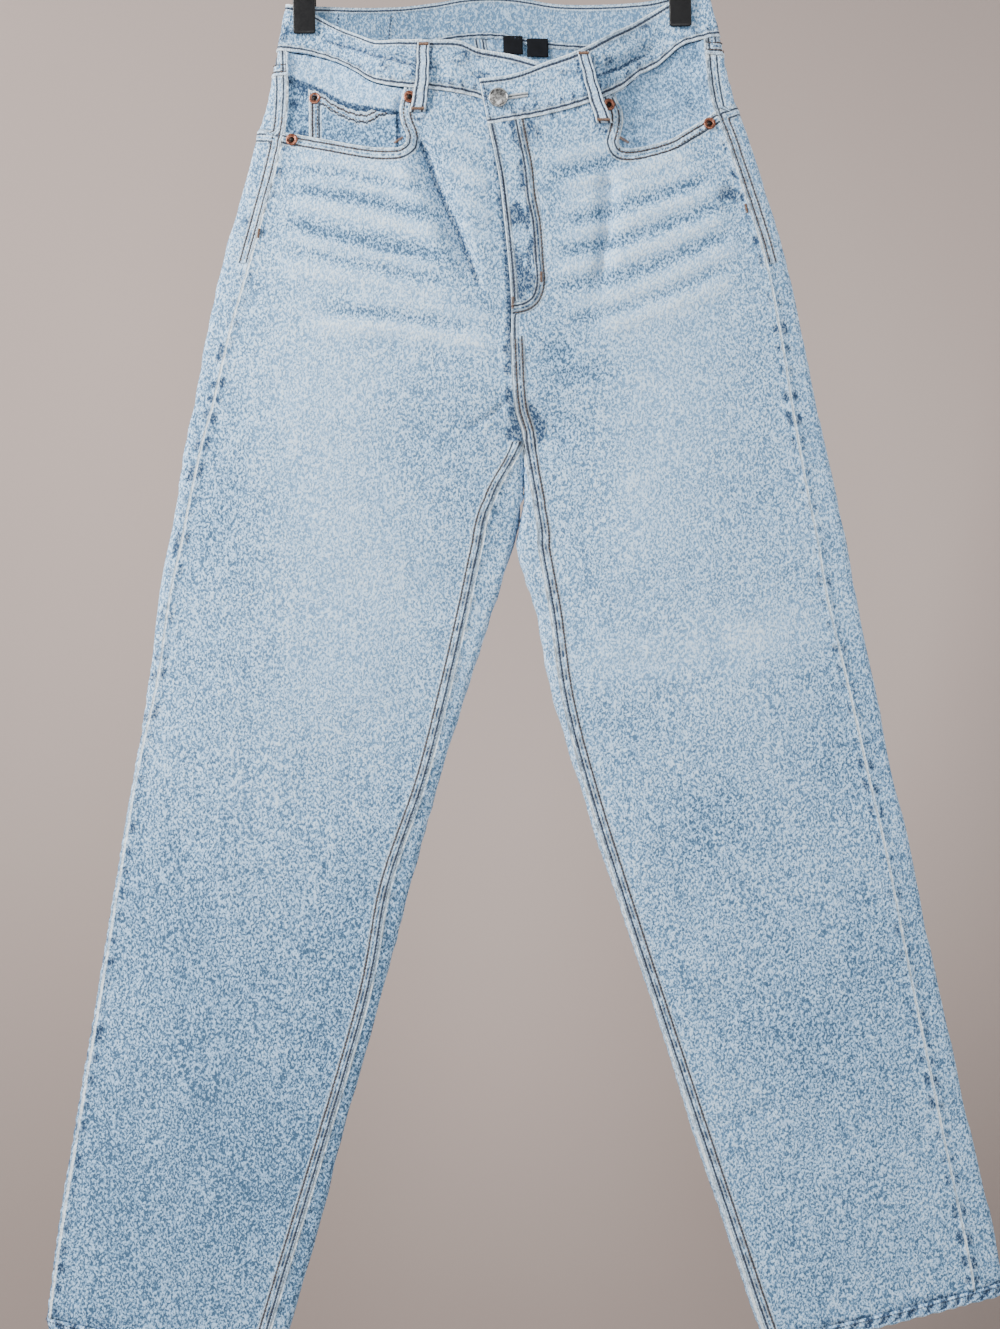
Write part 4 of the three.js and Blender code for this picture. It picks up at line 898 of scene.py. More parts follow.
def denim(name, shade=0.0, crackle=1.0):
    """Washed denim. shade above 0 is deeper blue, and crackle says how strong the pale threads are."""
    material, tree, shader = new_material(name)
    turned = placed(tree, turn=(0, math.radians(38), 0), scale=(1, 1, 0.72))
    maze = remap(tree, noise(tree, turned, 640, 1.0, 0.5, 0.6), 0.34, 0.66)
    straight = placed(tree)
    lumps = noise(tree, straight, 60, 3.0, 0.6)
    clouds = noise(tree, straight, 9, 2.0, 0.5)
    slubs = noise(tree, placed(tree, scale=(5.0, 5.0, 0.35)), 42, 2.0, 0.6)
    fade = mark(tree, "fade")
    level = math_node(tree, "ADD", math_node(tree, "MULTIPLY", fade, 0.15), 0.48 - shade)
    for value, strength in ((lumps, 0.22), (clouds, 0.16), (slubs, 0.18)):
        centred = math_node(tree, "SUBTRACT", value, 0.5)
        level = math_node(tree, "ADD", level, math_node(tree, "MULTIPLY", centred, strength))
    strength = remap(tree, math_node(tree, "ADD", fade, math_node(tree, "MULTIPLY", lumps, 0.8)), 0.3, 1.5,
                     0.78 * crackle, 0.56 * crackle)
    threads = math_node(tree, "MULTIPLY", math_node(tree, "SUBTRACT", maze, 0.5), strength)
    level = math_node(tree, "ADD", level, threads, clamp=True)
    ramp = tree.nodes.new("ShaderNodeValToRGB")
    ramp.color_ramp.elements[0].position = 0.0
    ramp.color_ramp.elements[0].color = (*BLUE, 1)
    ramp.color_ramp.elements[1].position = 1.0
    ramp.color_ramp.elements[1].color = (*BLEACHED, 1)
    for place, colour in ((0.34, WASHED), (0.70, PALE)):
        ramp.color_ramp.elements.new(place).color = (*colour, 1)
    tree.links.new(level, ramp.inputs["Fac"])
    colour = ramp.outputs["Color"]
    ragged = math_node(tree, "SUBTRACT", noise(tree, straight, 420, 2.0, 0.6), 0.5)
    dark = math_node(tree, "ADD", mark(tree, "dark"), math_node(tree, "MULTIPLY", ragged, 0.9))
    dark = math_node(tree, "MULTIPLY", remap(tree, dark, 0.14, 0.62), remap(tree, maze, 0.2, 1.0, 1.0, 0.66))
    # the dark mark blends in: blotches of the wash, and painted shade in creases, hollows and beside the belt
    # loops
    colour = blend_colour(tree, math_node(tree, "MULTIPLY", dark, 0.92), colour, DYE_AND_SHADE_BLUE)
    uneven = remap(tree, lumps, 0.35, 0.6, 0.4, 0.95)
    piping = remap(tree, math_node(tree, "ADD", mark(tree, "seam"), ragged), 0.5, 1.4, 1.0, 0.0)
    colour = blend_colour(tree, math_node(tree, "MULTIPLY", piping, uneven), colour, WEFT)
    inside = math_node(tree, "MULTIPLY", mark(tree, "inner"), remap(tree, maze, 0.1, 0.9, 0.85, 0.45))
    colour = blend_colour(tree, inside, colour, INSIDE)
    wavering = math_node(tree, "ADD", mark(tree, "row"), math_node(tree, "MULTIPLY", ragged, 0.5))
    ridge = None
    for inset in ROW_INSETS:
        off = math_node(tree, "ABSOLUTE", math_node(tree, "SUBTRACT", wavering, inset))
        beside = math_node(tree, "MULTIPLY", remap(tree, off, 0.7, 1.1), remap(tree, off, 1.5, 2.3, 1.0, 0.0))
        colour = blend_colour(tree, math_node(tree, "MULTIPLY", beside, 0.42), colour, WEFT)
        # a near-black line of painted shade in the groove under the row
        sewn = remap(tree, off, 0.4, 1.05, 0.95, 0.0)
        colour = blend_colour(tree, sewn, colour, STITCH_GROOVE_SHADE)
        ridge = sewn if ridge is None else math_node(tree, "ADD", ridge, sewn)
    tree.links.new(colour, shader.inputs["Base Color"])
    twill = tree.nodes.new("ShaderNodeTexWave")
    twill.bands_direction = "X"
    twill.inputs["Scale"].default_value = 340
    twill.inputs["Distortion"].default_value = 1.2
    twill.inputs["Detail"].default_value = 1.0
    tree.links.new(placed(tree, turn=(0, math.radians(-52), 0)), twill.inputs["Vector"])
    height = math_node(tree, "ADD", maze, math_node(tree, "MULTIPLY", twill.outputs["Fac"], 0.25))
    height = math_node(tree, "ADD", height, math_node(tree, "MULTIPLY", slubs, 0.8))
    height = math_node(tree, "SUBTRACT", height, ridge)
    fine_relief(tree, shader, height, 0.9, 0.0005)
    shader.inputs["Roughness"].default_value = 0.92
    shader.inputs["Specular IOR Level"].default_value = 0.2
    shader.inputs["Sheen Weight"].default_value = 0.05
    shader.inputs["Sheen Roughness"].default_value = 0.5
    return material


body_denim = denim("washed denim")
band_denim = denim("waistband denim")
facing_denim = denim("pocket facing denim", shade=0.29)
hem_denim = denim("hem denim", shade=0.02)
loop_denim = denim("belt loop denim", shade=-0.05, crackle=0.7)
print("five denims")

# %% [markdown]
# ## Front and back panels
# The front panels run from the middle to the side seam, and the back panels from there round the
# outer fold and over the back, and below the crotch on round the inner fold to the inseam, as they
# are cut. They could be one tube with painted seams, but real panels part at their seams. Rows lie
# 1.7 mm apart on the front down to the crotch, where creases are finest, and 3.2 mm elsewhere.

# %% Grids
GRID_STEP = 3.2
HIP_STEP = 1.7
SEAM_STEP = 0.012
FINE_HIPS_END = 6.3
UPPER_BACK_END = 2.6
YOKE_LENGTH, UPPER_BACK_LENGTH = 48, 75
COARSE = 1


def column_shares(first, first_count, middle_count, last, last_count):
    """Shares from 0 to 1 across a panel, closer together beside the seams at both ends."""
    counts = [max(count // COARSE, 2) for count in (first_count, middle_count, last_count)]
    return np.concatenate([np.linspace(0, first, counts[0], endpoint=False),
                           np.linspace(first, 1 - last, counts[1], endpoint=False),
                           np.linspace(1 - last, 1, counts[2] + 1)])


def even_rows(half, start, end, step=GRID_STEP):
    """Rows an even distance apart down the outer fold."""
    q = np.linspace(start, end, 900)
    row = half_row(half, q)
    length = np.concatenate([[0], np.cumsum(np.hypot(np.diff(row["outX"]), np.diff(row["outZ"])))])
    count = max(int(round(length[-1] / step)), 2)
    return np.interp(np.linspace(0, length[-1], count + 1), length, q)


def inner_edge(half, q):
    under = -UNDERLAP * (1 - smooth(q, 0.5, FLY_END_ROW))
    above = under if half is LEFT else np.zeros_like(q)
    return np.where(q > CROTCH_ROW, half_row(half, q)["inseam"], np.where(q < FLY_END_ROW, above, 0))


def finish_cloth(piece, node_name):
    """Hides the imported part that the sheet stands for, and gives the sheet back."""
    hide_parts(node_name)
    return piece


def snap_to_line(half, points, reach, q, keep, line):
    """Moves the points along a cut-out's edge onto its line, by changing their reach and row."""
    kept = np.pad(keep, 1)
    around = [kept[:-1, :-1], kept[:-1, 1:], kept[1:, :-1], kept[1:, 1:]]
    touched = np.sum(around, axis=0)
    inside_grid = np.zeros(touched.shape, bool)
    inside_grid[1:-1, 1:-1] = True
    on_edge = (touched > 0) & (touched < 4) & inside_grid
    fine = curve(line, 8)
    picked = points[on_edge]
    gap = np.hypot(picked[:, None, 0] - fine[None, :, 0], picked[:, None, 2] - fine[None, :, 1])
    target = fine[np.argmin(gap, axis=1)]
    snapped = place_on(half, True, target[:, 0], target[:, 1])
    reach, q = reach.copy(), q.copy()
    reach[on_edge], q[on_edge] = snapped
    return reach, q


FRONT_SHARES = column_shares(0.24, 28, 50, 0.065, 10)
BACK_SHARES = column_shares(0.12, 17, 58, 0.07, 11)


def front_panel(half):
    upper = even_rows(half, 0, FINE_HIPS_END, HIP_STEP)
    rows = np.concatenate([upper, even_rows(half, FINE_HIPS_END, HEM_TOP_ROW - SEAM_STEP)[1:]])
    start = inner_edge(half, rows)
    row = half_row(half, rows)
    end = row["width"] - row["side"]
    reach = start[:, None] + (end - start)[:, None] * FRONT_SHARES[None, :]
    q = np.repeat(rows[:, None], len(FRONT_SHARES), axis=1)
    bare, _ = cloth_frame(half, reach, q)
    centre = (bare[:-1, :-1] + bare[1:, 1:]) / 2
    depth = inside_mouth(half, centre[..., 0], centre[..., 2])
    keep = ~((depth > 0) & (q[:-1, :-1] < 3))
    reach, q = snap_to_line(half, bare, reach, q, keep, MOUTH_LEFT if half is LEFT else MOUTH_RIGHT)
    points, normals, marks = cloth(half, reach, q)
    name = f"front_{half['name']}"
    piece = shell(f"cloth_{name}", points, normals, DENIM, body_denim, marks, keep)
    return finish_cloth(piece, name)


def back_reaches(half, q):
    """Places from the side seam round the outer fold to the middle, or to the inseam."""
    row = half_row(half, q)
    start = row["width"] - row["side"]
    end = 2 * row["width"] + np.where(q > CROTCH_ROW, row["inseam"], 0)
    return start[:, None] + (end - start)[:, None] * BACK_SHARES[None, :]


def yoke_seam(half, share):
    at_side = 0.56 if half is LEFT else 0.32
    return mix(at_side, 1.5, smooth(share, 0.05, 1) * 0.4 + share * 0.6)


def back_grid(half, rows_above, top):
    """The yoke (top) or the upper part of the back panel, on either side of the slanting yoke seam."""
    share = BACK_SHARES
    seam = yoke_seam(half, share)
    low = UPPER_BACK_END
    part = np.linspace(0, 1, rows_above + 1)[:, None]
    q = part * seam[None, :] if top else seam[None, :] + part * (low - seam)[None, :]
    reach = np.empty_like(q)
    for k in range(q.shape[0]):
        row = half_row(half, q[k])
        start = row["width"] - row["side"]
        reach[k] = start + (2 * row["width"] - start) * share
    return reach, q


def back_panel(half):
    reach_up, q_up = back_grid(half, int(UPPER_BACK_LENGTH / GRID_STEP), False)
    rows = even_rows(half, UPPER_BACK_END, HEM_TOP_ROW - SEAM_STEP)[1:]
    q_low = np.repeat(rows[:, None], len(BACK_SHARES), axis=1)
    reach, q = np.concatenate([reach_up, back_reaches(half, rows)]), np.concatenate([q_up, q_low])
    points, normals, marks = cloth(half, reach, q)
    share = BACK_SHARES[None, :]
    below_yoke = (q - yoke_seam(half, share)) * WAIST_ROW_MM
    points = points + normals * (0.7 * bell(below_yoke, 1.6))[..., None]
    marks["seam"] = np.minimum(marks["seam"], np.abs(below_yoke))
    name = f"back_{half['name']}"
    piece = shell(f"cloth_{name}", points, normals, DENIM, body_denim, marks)
    return finish_cloth(piece, name)


def yoke(half):
    reach, q = back_grid(half, int(YOKE_LENGTH / GRID_STEP), True)
    points, normals, marks = cloth(half, reach, q)
    share = BACK_SHARES[None, :]
    above_seam = (yoke_seam(half, share) - q) * WAIST_ROW_MM
    points = points + normals * (0.7 * bell(above_seam, 1.6)
                                 + 0.6 * (1 - smooth(above_seam, 8, 9.6)))[..., None]
    marks["seam"] = np.minimum(marks["seam"], np.abs(above_seam))
    beside_seam = np.minimum(np.maximum(above_seam, 0), marks["row"])
    marks["row"] = np.where(above_seam < ROWS_REACH, beside_seam, marks["row"])
    marks["dark"] = np.maximum(marks["dark"], 0.7 * bell(above_seam - 4.5, 3)
                               * np.clip(0.4 + np.sin(points[..., 0] / 2.4), 0, 1))
    name = f"yoke_{half['name']}"
    piece = shell(f"cloth_{name}", points, normals, DENIM, body_denim, marks)
    return finish_cloth(piece, name)


for half in HALVES:
    front_panel(half)
    back_panel(half)
    yoke(half)

# %% [markdown]
# ## Hems
# The lower edge is turned up twice and sewn, and the wash ropes it: the layers shift against each
# other and stand in slanting ridges, pale on top and blue between. Each ridge could be modelled by
# itself. A leaning wave with noise in it is chosen, as it runs round without a break.

# %% Hems
HEM_WALL = 2.4
LEG_ROUND, ROPE_STEP = 440, 1.8
MIDDLE_OF_LEG_ROW = 14.0


def hem(half):
    rows = np.linspace(HEM_TOP_ROW, HEM_ROW, 9)
    width = half_row(half, rows)["width"]
    columns = int(LEG_ROUND / ROPE_STEP)
    reach = width[:, None] * np.linspace(0, 2, columns + 1)[None, :-1]
    q = np.repeat(rows[:, None], columns, axis=1)
    points, normals = cloth_frame(half, reach, q)
    rise, marks = seam_look(half, reach, np.full_like(q, MIDDLE_OF_LEG_ROW), points)
    down = (q - HEM_TOP_ROW) / (HEM_ROW - HEM_TOP_ROW)
    x = points[..., 0]
    slant = x / 1.95 + half["sign"] * down * 3.4 + 1.7 * soft_noise(points, 17.0)
    rope = np.sin(slant)
    bulge = np.sqrt(np.clip(1 - (2 * down - 1) ** 4, 0, 1))
    rise = 0.15 + 0.5 * bulge + 0.42 * rope * np.sin(np.pi * np.clip(down, 0, 1)) ** 0.7
    points = points + normals * (rise + 0.25)[..., None]
    points[..., 2] += np.where(down > 0.8, 0.5 * rope + 0.5 * soft_noise(points, 9.0), 0)
    marks["fade"] = 0.35 * rope + 0.2
    marks["row"] = np.full(q.shape, NO_ROW)
    between_ropes = np.clip(0.35 - 0.6 * rope + 0.5 * soft_noise(points, 8.0), 0, 1)
    marks["dark"] = between_ropes * (0.25 + 0.75 * (down < 0.75))
    marks["seam"] = np.where(down > 0.5, (1 - down) * 8 + 0.4, 9)
    name = f"hem_{half['name']}"
    piece = shell(f"cloth_{name}", points, normals, HEM_WALL, hem_denim, marks, wrap=True)
    return finish_cloth(piece, name)


for half in HALVES:
    hem(half)

# %% [markdown]
# ## Waistband
# A straight strip of two layers, buttoned at the front, pinched flat by the clips and open between
# them. Its lower half puckers along the seam, and a crease runs along each side of the front. It
# could be bent from a flat strip. Curves for its two edges are chosen, to meet the panels exactly.

# %% Waistband
BAND_HEIGHT = 38
FRONT_RUN, BACK_RUN, UNDER_RUN = 183, 173, 207
FOLD_TURN = (0, 0.35, 0.8, 1.5, 2.5, 4, 6, 8.5, 12)


def pinched_radius(k):
    return mix(PINCHED_RADIUS, WAIST_FOLD_RADIUS, np.maximum(0, 1 - k / PINCH_FROM))


def band_point(half, front, x, k):
    x, k = np.broadcast_arrays(np.asarray(x, float), np.asarray(k, float))
    table = half["band"] if front else BAND_BACK
    out = waist_depth(half, front, x, pinched_radius(k), WAIST_FOLD_RADIUS)
    shown = x * (1 - WAIST_LEAN * k)
    if front and half is LEFT:
        out = out - BAND_DROP * (1 - smooth(BAND_RIGHT[0][0] - x, 6, 30))
    if front and half is RIGHT:
        shown = shown - OVERLAP_SLANT * k * (1 - smooth(x - BAND_RIGHT[0][0], 0, 30))
    z = mix(height_at(table, BOTTOM, x), height_at(table, TOP, x), k)
    return np.stack([shown, -out if front else out, z], axis=-1)


def band_places(step):
    """Every place round the waistband, from the buttonhole end to the end under it."""
    places = []

    def put(half, front, xs):
        places.extend((half, front, float(x)) for x in xs)

    right_turn = [RIGHT["fold"] - t for t in FOLD_TURN]
    left_turn = [LEFT["fold"] + t for t in FOLD_TURN]
    first = BAND_RIGHT[0][0]
    put(RIGHT, True, np.linspace(first, RIGHT["fold"] - 12, int(FRONT_RUN / step)))
    put(RIGHT, True, right_turn[::-1][1:])
    put(RIGHT, False, right_turn[1:])
    put(RIGHT, False, np.linspace(RIGHT["fold"] - 12, 2, int(BACK_RUN / step))[1:])
    put(LEFT, False, np.linspace(2, LEFT["fold"] + 12, int(BACK_RUN / step))[1:])
    put(LEFT, False, left_turn[::-1][1:])
    put(LEFT, True, left_turn[1:])
    put(LEFT, True, np.linspace(LEFT["fold"] + 12, BAND_LEFT[-1][0], int(UNDER_RUN / step))[1:])
    return places


def band_relief(half, front, x, k, points):
    """Puckers, creases and raised edges of the waistband, and its marks, with painted shade along the front
    crease and beside the belt loops.
    """
    outer = half["sign"] * x
    wobble = 2.0 * soft_noise(points, 27.0, 1.0)
    wave = np.sin(x / 1.55 + wobble) * (0.55 + 0.45 * soft_noise(points, 19.0))
    low, high = k * BAND_HEIGHT, (1 - k) * BAND_HEIGHT
    lift = 0.5 * soft_noise(points, 40.0) + 0.5 * soft_noise(points, 13.0, 2.0)
    lift += 0.25 * soft_noise(points, 6.0, 8.0) + 0.75 * bell(low, 12) * wave
    lift += 0.55 * bell(low, 1.6) + 0.6 * bell(high, 1.8)
    lift -= 0.35 * bell(low - 3.4, 1.3) + 0.3 * bell(high - 3.8, 1.3)
    if front:
        start, end = (38, 156) if half is LEFT else (70, 138)
        window = smooth(outer, start, start + 25) * (1 - smooth(outer, end - 22, end))
        line = 0.45 - 0.12 * smooth(outer, start, end)
        if half is LEFT:
            line = 0.47 + 0.2 * bell(outer - 105, 28)
        crease = window * bell(k - line, 0.08)
        lift -= 3.4 * crease
        lift += 1.8 * window * bell(k - line - 0.2, 0.12)
    dark = 0.9 * bell(low - 3.6, 2.4) * np.clip(0.4 + wave * 1.4, 0, 1)
    dark = np.maximum(dark, 0.7 * bell(low - 2.2, 0.9) + 0.6 * bell(high - 3.4, 0.9))
    if front:
        # painted shade along the front crease, and beside the belt loops
        dark = np.maximum(dark, 0.9 * window * bell(k - line + 0.02, 0.04))
        dark = np.maximum(dark, loop_shade_and_dye(half, points[..., 0], points[..., 2]))
    dark = np.maximum(dark, 0.45 * bell(high - 3.6, 2.0) * np.clip(0.3 + wave, 0, 1))
    dark = np.maximum(dark, 0.5 * bell(low, 14) * np.clip(-wave, 0, 1))
    if front:
        patch = np.exp(-(((outer - 128) / 16) ** 2) - (((k - 0.62) / 0.3) ** 2))
        patch = patch * (1 if half is LEFT else 0.4)
        dark = np.maximum(dark, 0.8 * patch * np.clip(0.6 + soft_noise(points, 6.0), 0, 1))
        mottled = np.clip(1.7 * soft_noise(points * [0.7, 1, 1.3], 11.0, 3.0) - 0.15, 0, 1)
        dark = np.maximum(dark, 0.55 * mottled * np.clip(0.7 + soft_noise(points, 3.5), 0, 1))
        below = bell(low - 7, 4.5) * np.clip(1.5 * wave - 0.1, 0, 1)
        dark = np.maximum(dark, 0.75 * below)
    lift = lift * (1 - 0.75 * smooth(k, 0.25, 0.5) * (1 - smooth(np.abs(outer - half["clip"]), 10, 22)))
    fade = 0.25 + 0.5 * soft_noise(points, 15.0) + 0.35 * bell(low, 8) * wave
    edge = np.minimum(low, high)
    return lift, {"fade": fade, "seam": edge, "dark": dark, "row": np.where(edge < 7, edge, NO_ROW)}


def band_surface(places, k, lift=0.0):
    """Finished grid of the waistband for places round it and shares k of its height."""
    lines = []
    for half, front, x in places:
        lines.append(band_point(half, front, x, k))
    points = np.stack(lines, axis=1)
    across = np.gradient(points, axis=1)
    up = np.gradient(points, axis=0)
    normals = unit(np.cross(across, up))
    relief = np.zeros(points.shape[:2])
    marks = {key: np.zeros(points.shape[:2]) for key in ("fade", "seam", "dark", "row")}
    for j, (half, front, x) in enumerate(places):
        rise, column = band_relief(half, front, x, k, points[:, j])
        relief[:, j] = rise
        for key in marks:
            marks[key][:, j] = column[key]
    return points + normals * (relief + lift)[..., None], normals, marks


BAND_SHARES = np.linspace(0, 1, 33)
band_list = band_places(2.0)
band_points, band_normals, band_marks = band_surface(band_list, BAND_SHARES)
run = np.concatenate([[0], np.cumsum(np.linalg.norm(np.diff(band_points[16], axis=0), axis=-1))])
first_end = np.minimum(run, 99)
band_marks["seam"] = np.minimum(band_marks["seam"], first_end[None, :] + 0.3)
waistband = shell("cloth_waistband", band_points, band_normals, BAND_WALL, band_denim,
                  band_marks)
finish_cloth(waistband, "waistband")

# %% [markdown]
# ## Pocket facings and the coin pocket
# Behind each pocket mouth lies a facing of less faded denim. The left one hangs slack from the
# waistband and makes a pale fold, with painted shade in the hollow under it, above the frayed edge
# of the coin pocket. The right one bulges, with painted shade on its right flank. Flat patches could
# stand behind the mouths, but the front is curved and they would cut through it. So all of them
# follow the front's surface, a layer deeper.

# %% Facings
FACING_WALL = 0.9
COIN_WALL = 1.0
COIN_LIFT = -(DENIM + 0.35)
SLACK_FOLD = ((-192, -150), (-172, -155), (-157, -161), (-146, -165.5), (-137, -172), (-121, -180.5),
              (-107, -184), (-95, -187), (-80, -190))
RIGHT_TUCK = ((176, -146), (150, -163), (128, -180), (108, -194))


def facing(half, lift, inward, last_row):
    columns = int(inward / 1.3)
    rows = np.linspace(0.03, last_row, 58)
    row = half_row(half, rows)
    seam = row["width"] - row["side"]
    from_seam = inward * np.linspace(1, 0, columns)[None, :] + 0 * rows[:, None]
    reach = seam[:, None] - from_seam
    q = np.repeat(rows[:, None], columns, axis=1)
    points, normals, marks = cloth(half, reach, q, lift * smooth(from_seam, 0, 7))
    x, z = points[..., 0], points[..., 2]
    free = smooth(inside_mouth(half, x, z), 0.5, 5)
    line = curve(SLACK_FOLD if half is LEFT else RIGHT_TUCK)
    order = np.argsort(line[:, 0])
    above = z - np.interp(x, line[order, 0], line[order, 1])
    high = 3.2 if half is LEFT else 0.3
    if half is RIGHT:
        bulge = np.exp(-(((x - 134) / 24) ** 2) - ((z + 187) / 20) ** 2)
        points = points + normals * (free * 2.2 * bulge)[..., None]
    ridge = np.where(above > -1.0, bell(above - 3, 14), bell(above + 1.0, 1.0))
    rise = high * ridge + 0.5 * soft_noise(points, 9.0) + 0.25 * soft_noise(points, 4.0)
    points = points + normals * (free * rise)[..., None]
    # painted shade in the hollow under the left slack fold
    hollow = 1.5 * bell(above + 2.6, 3.0) if half is LEFT else 0 * above
    patches = np.clip(soft_noise(points, 7.0) * 1.5 + 0.3, 0, 1)
    shade = np.clip(hollow + patches * (0.7 if half is LEFT else 0.25) * (above < 0), 0, 1)
    marks["dark"] = np.clip(marks["dark"] * 0.4 + shade, 0, 1)
    # painted shade on the right flank of the right facing's bulge
    flank_shade = np.exp(-(((x - 159) / 7) ** 2) - ((z + 182) / 16) ** 2)
    if half is LEFT:
        marks["fade"] = 2.2 * smooth(above, -1.5, 0.5) + 0.3
    else:
        marks["fade"] = 1.5 + 0.6 * soft_noise(points, 14.0)
    marks["dark"] = np.maximum(marks["dark"], 0.35 * flank_shade * (half is RIGHT))
    marks["row"] = np.where(marks["row"] < 0.5, NO_ROW, marks["row"])
    name = f"pocket_facing_{half['name']}"
    piece = shell(f"cloth_{name}", points, normals, FACING_WALL, facing_denim, marks)
    return finish_cloth(piece, name)


facing(LEFT, COIN_LIFT - COIN_WALL - 0.2, 114, 1.75)
facing(RIGHT, COIN_LIFT, 104, 1.75)

# %% Coin pocket
COIN_TOP = np.array([[-157, -164.5], [-146, -168.5], [-137, -175.5], [-121, -184.5], [-107, -187.5],
                     [-98, -183], [-84, -182]])
COIN_FLOOR = -228


def coin_pocket():
    x = np.linspace(COIN_TOP[0, 0], COIN_TOP[-1, 0], 58)
    fray = 0.55 * np.sin(x * 2.1) + 0.5 * np.sin(x * 0.83 + 1)
    top = height_at(COIN_TOP, 1, x) + fray
    down = np.linspace(0, 1, 34)[:, None]
    z = top[None, :] + (COIN_FLOOR - top)[None, :] * down
    reach, q = place_on(LEFT, True, np.repeat(x[None, :], 34, axis=0), z)
    points, normals, marks = cloth(LEFT, reach, q, COIN_LIFT)
    from_top = (top[None, :] - z)
    from_side = points[..., 0] - COIN_TOP[0, 0]
    free = smooth(inside_mouth(LEFT, points[..., 0], points[..., 2]), 0, 4)
    rise = 0.7 * bell(from_top, 2.2) + 0.5 * (1 - smooth(from_top, 7, 9))
    rise += 0.5 * bell(from_side, 1.8) + 0.45 * soft_noise(points, 8.0)
    points = points + normals * (free * rise)[..., None]
    rows = bell(from_top - 3.2, 1.6) + bell(from_side - 3.4, 1.8)
    marks["dark"] = np.clip(rows * (0.5 + 0.7 * soft_noise(points, 6.0)), 0, 1)
    marks["seam"] = np.minimum(from_top, from_side) + 0.1
    marks["row"] = np.minimum(from_top, from_side)
    marks["fade"] = 0.9 - 0.5 * smooth(from_top, 0, 25)
    piece = shell("cloth_coin_pocket", points, normals, COIN_WALL, facing_denim, marks)
    return finish_cloth(piece, "coin_pocket")


coin_pocket()

# %% [markdown]
# ## Back pockets, the patch and the labels
# These are on the hidden side. The pockets are five-sided patches with a turned upper edge, the patch
# is bare, and two small bare labels hang inside the waistband. Pockets could be flat plates. Laid on
# the back's own surface instead, they follow its curve and leave no gap.

# %% Back pockets
POCKET_CENTRE, POCKET_DRIFT = 96, 14
POCKET_TOP, POCKET_CORNER, POCKET_POINT = -212, -352, -374
POCKET_HALF_TOP, POCKET_HALF_FOOT = 74, 66
POCKET_TURN, POCKET_LENGTH = 15.5, 150


def pocket_place(half, t, u):
    foot = mix(POCKET_POINT, POCKET_CORNER, np.abs(u))
    z = mix(POCKET_TOP, foot, t)
    x = half["sign"] * (POCKET_CENTRE + POCKET_DRIFT * t) + u * mix(POCKET_HALF_TOP, POCKET_HALF_FOOT, t)
    return x, z


def back_pocket(half):
    t, u = np.meshgrid(np.linspace(0, 1, 56), np.linspace(-1, 1, 53), indexing="ij")
    x, z = pocket_place(half, t, u)
    reach, q = place_on(half, False, x, z)
    points, normals, marks = cloth(half, reach, q, DENIM + 0.4)
    from_top = POCKET_TOP - z
    from_side = (1 - np.abs(u)) * mix(POCKET_HALF_TOP, POCKET_HALF_FOOT, t)
    from_foot = (1 - t) * POCKET_LENGTH
    edge = np.minimum(np.minimum(from_top, from_side), from_foot)
    wave = np.sin((x + z) / 1.7 + 2 * soft_noise(points, 25.0))
    rise = 0.6 * bell(edge, 1.7) + 0.5 * (1 - smooth(from_top, 17, 19))
    rise += 0.3 * bell(edge, 7) * wave + 1.2 * np.exp(-(((t - 0.55) / 0.5) ** 2) - (u / 0.7) ** 2)
    points = points + normals * rise[..., None]
    blotch = np.clip(0.4 + wave + 0.4 * soft_noise(points, 8.0), 0, 1)
    marks["dark"] = 0.8 * blotch * bell(edge - 4.5, 3)
    marks["seam"] = edge
    marks["row"] = np.where(from_top < 0.2, NO_ROW, np.minimum(from_side, from_foot))
    marks["fade"] = marks["fade"] + 0.3
    name = f"back_pocket_{half['name']}"
    piece = shell(f"cloth_{name}", points, normals, DENIM, body_denim, marks)
    return finish_cloth(piece, name)


for half in HALVES:
    back_pocket(half)

# %% Patch
patch_denim = denim("patch denim", shade=0.2)
patch_places = [(LEFT, False, float(x)) for x in np.linspace(-93, -135, 28)]
patch_shares = np.linspace(0.2, 0.88, 18)
patch_points, patch_normals, patch_marks = band_surface(patch_places, patch_shares, 1.4)
across, up = np.meshgrid(np.linspace(0, 42, 28), np.linspace(0, 26, 18))
patch_edge = np.minimum(np.minimum(across, 42 - across), np.minimum(up, 26 - up))
patch_points = patch_points + patch_normals * (0.35 * bell(patch_edge, 1.6))[..., None]
patch_marks["seam"] = patch_edge + 0.5
patch_marks["dark"] = patch_marks["dark"] * 0.5
patch = shell("cloth_back_patch", patch_points, patch_normals, 1.0, patch_denim, patch_marks)
finish_cloth(patch, "back_patch")

# %% Labels
LABEL_Y = WAIST_FOLD_RADIUS + BACK_BULGE - BAND_WALL - 0.9


def tape_material():
    material, tree, shader = new_material("black woven tape")
    weave = tree.nodes.new("ShaderNodeTexWave")
    weave.bands_direction = "Z"
    weave.inputs["Scale"].default_value = 900
    weave.inputs["Distortion"].default_value = 0.6
    tree.links.new(placed(tree), weave.inputs["Vector"])
    cloudy = noise(tree, placed(tree), 160, 2.0)
    colour = blend_colour(tree, cloudy, (0.003, 0.0035, 0.005), (0.008, 0.009, 0.012))
    tree.links.new(colour, shader.inputs["Base Color"])
    fine_relief(tree, shader, weave.outputs["Fac"], 0.5, 0.0002)
    shader.inputs["Roughness"].default_value = 0.85
    shader.inputs["Specular IOR Level"].default_value = 0.15
    return material


tape = tape_material()


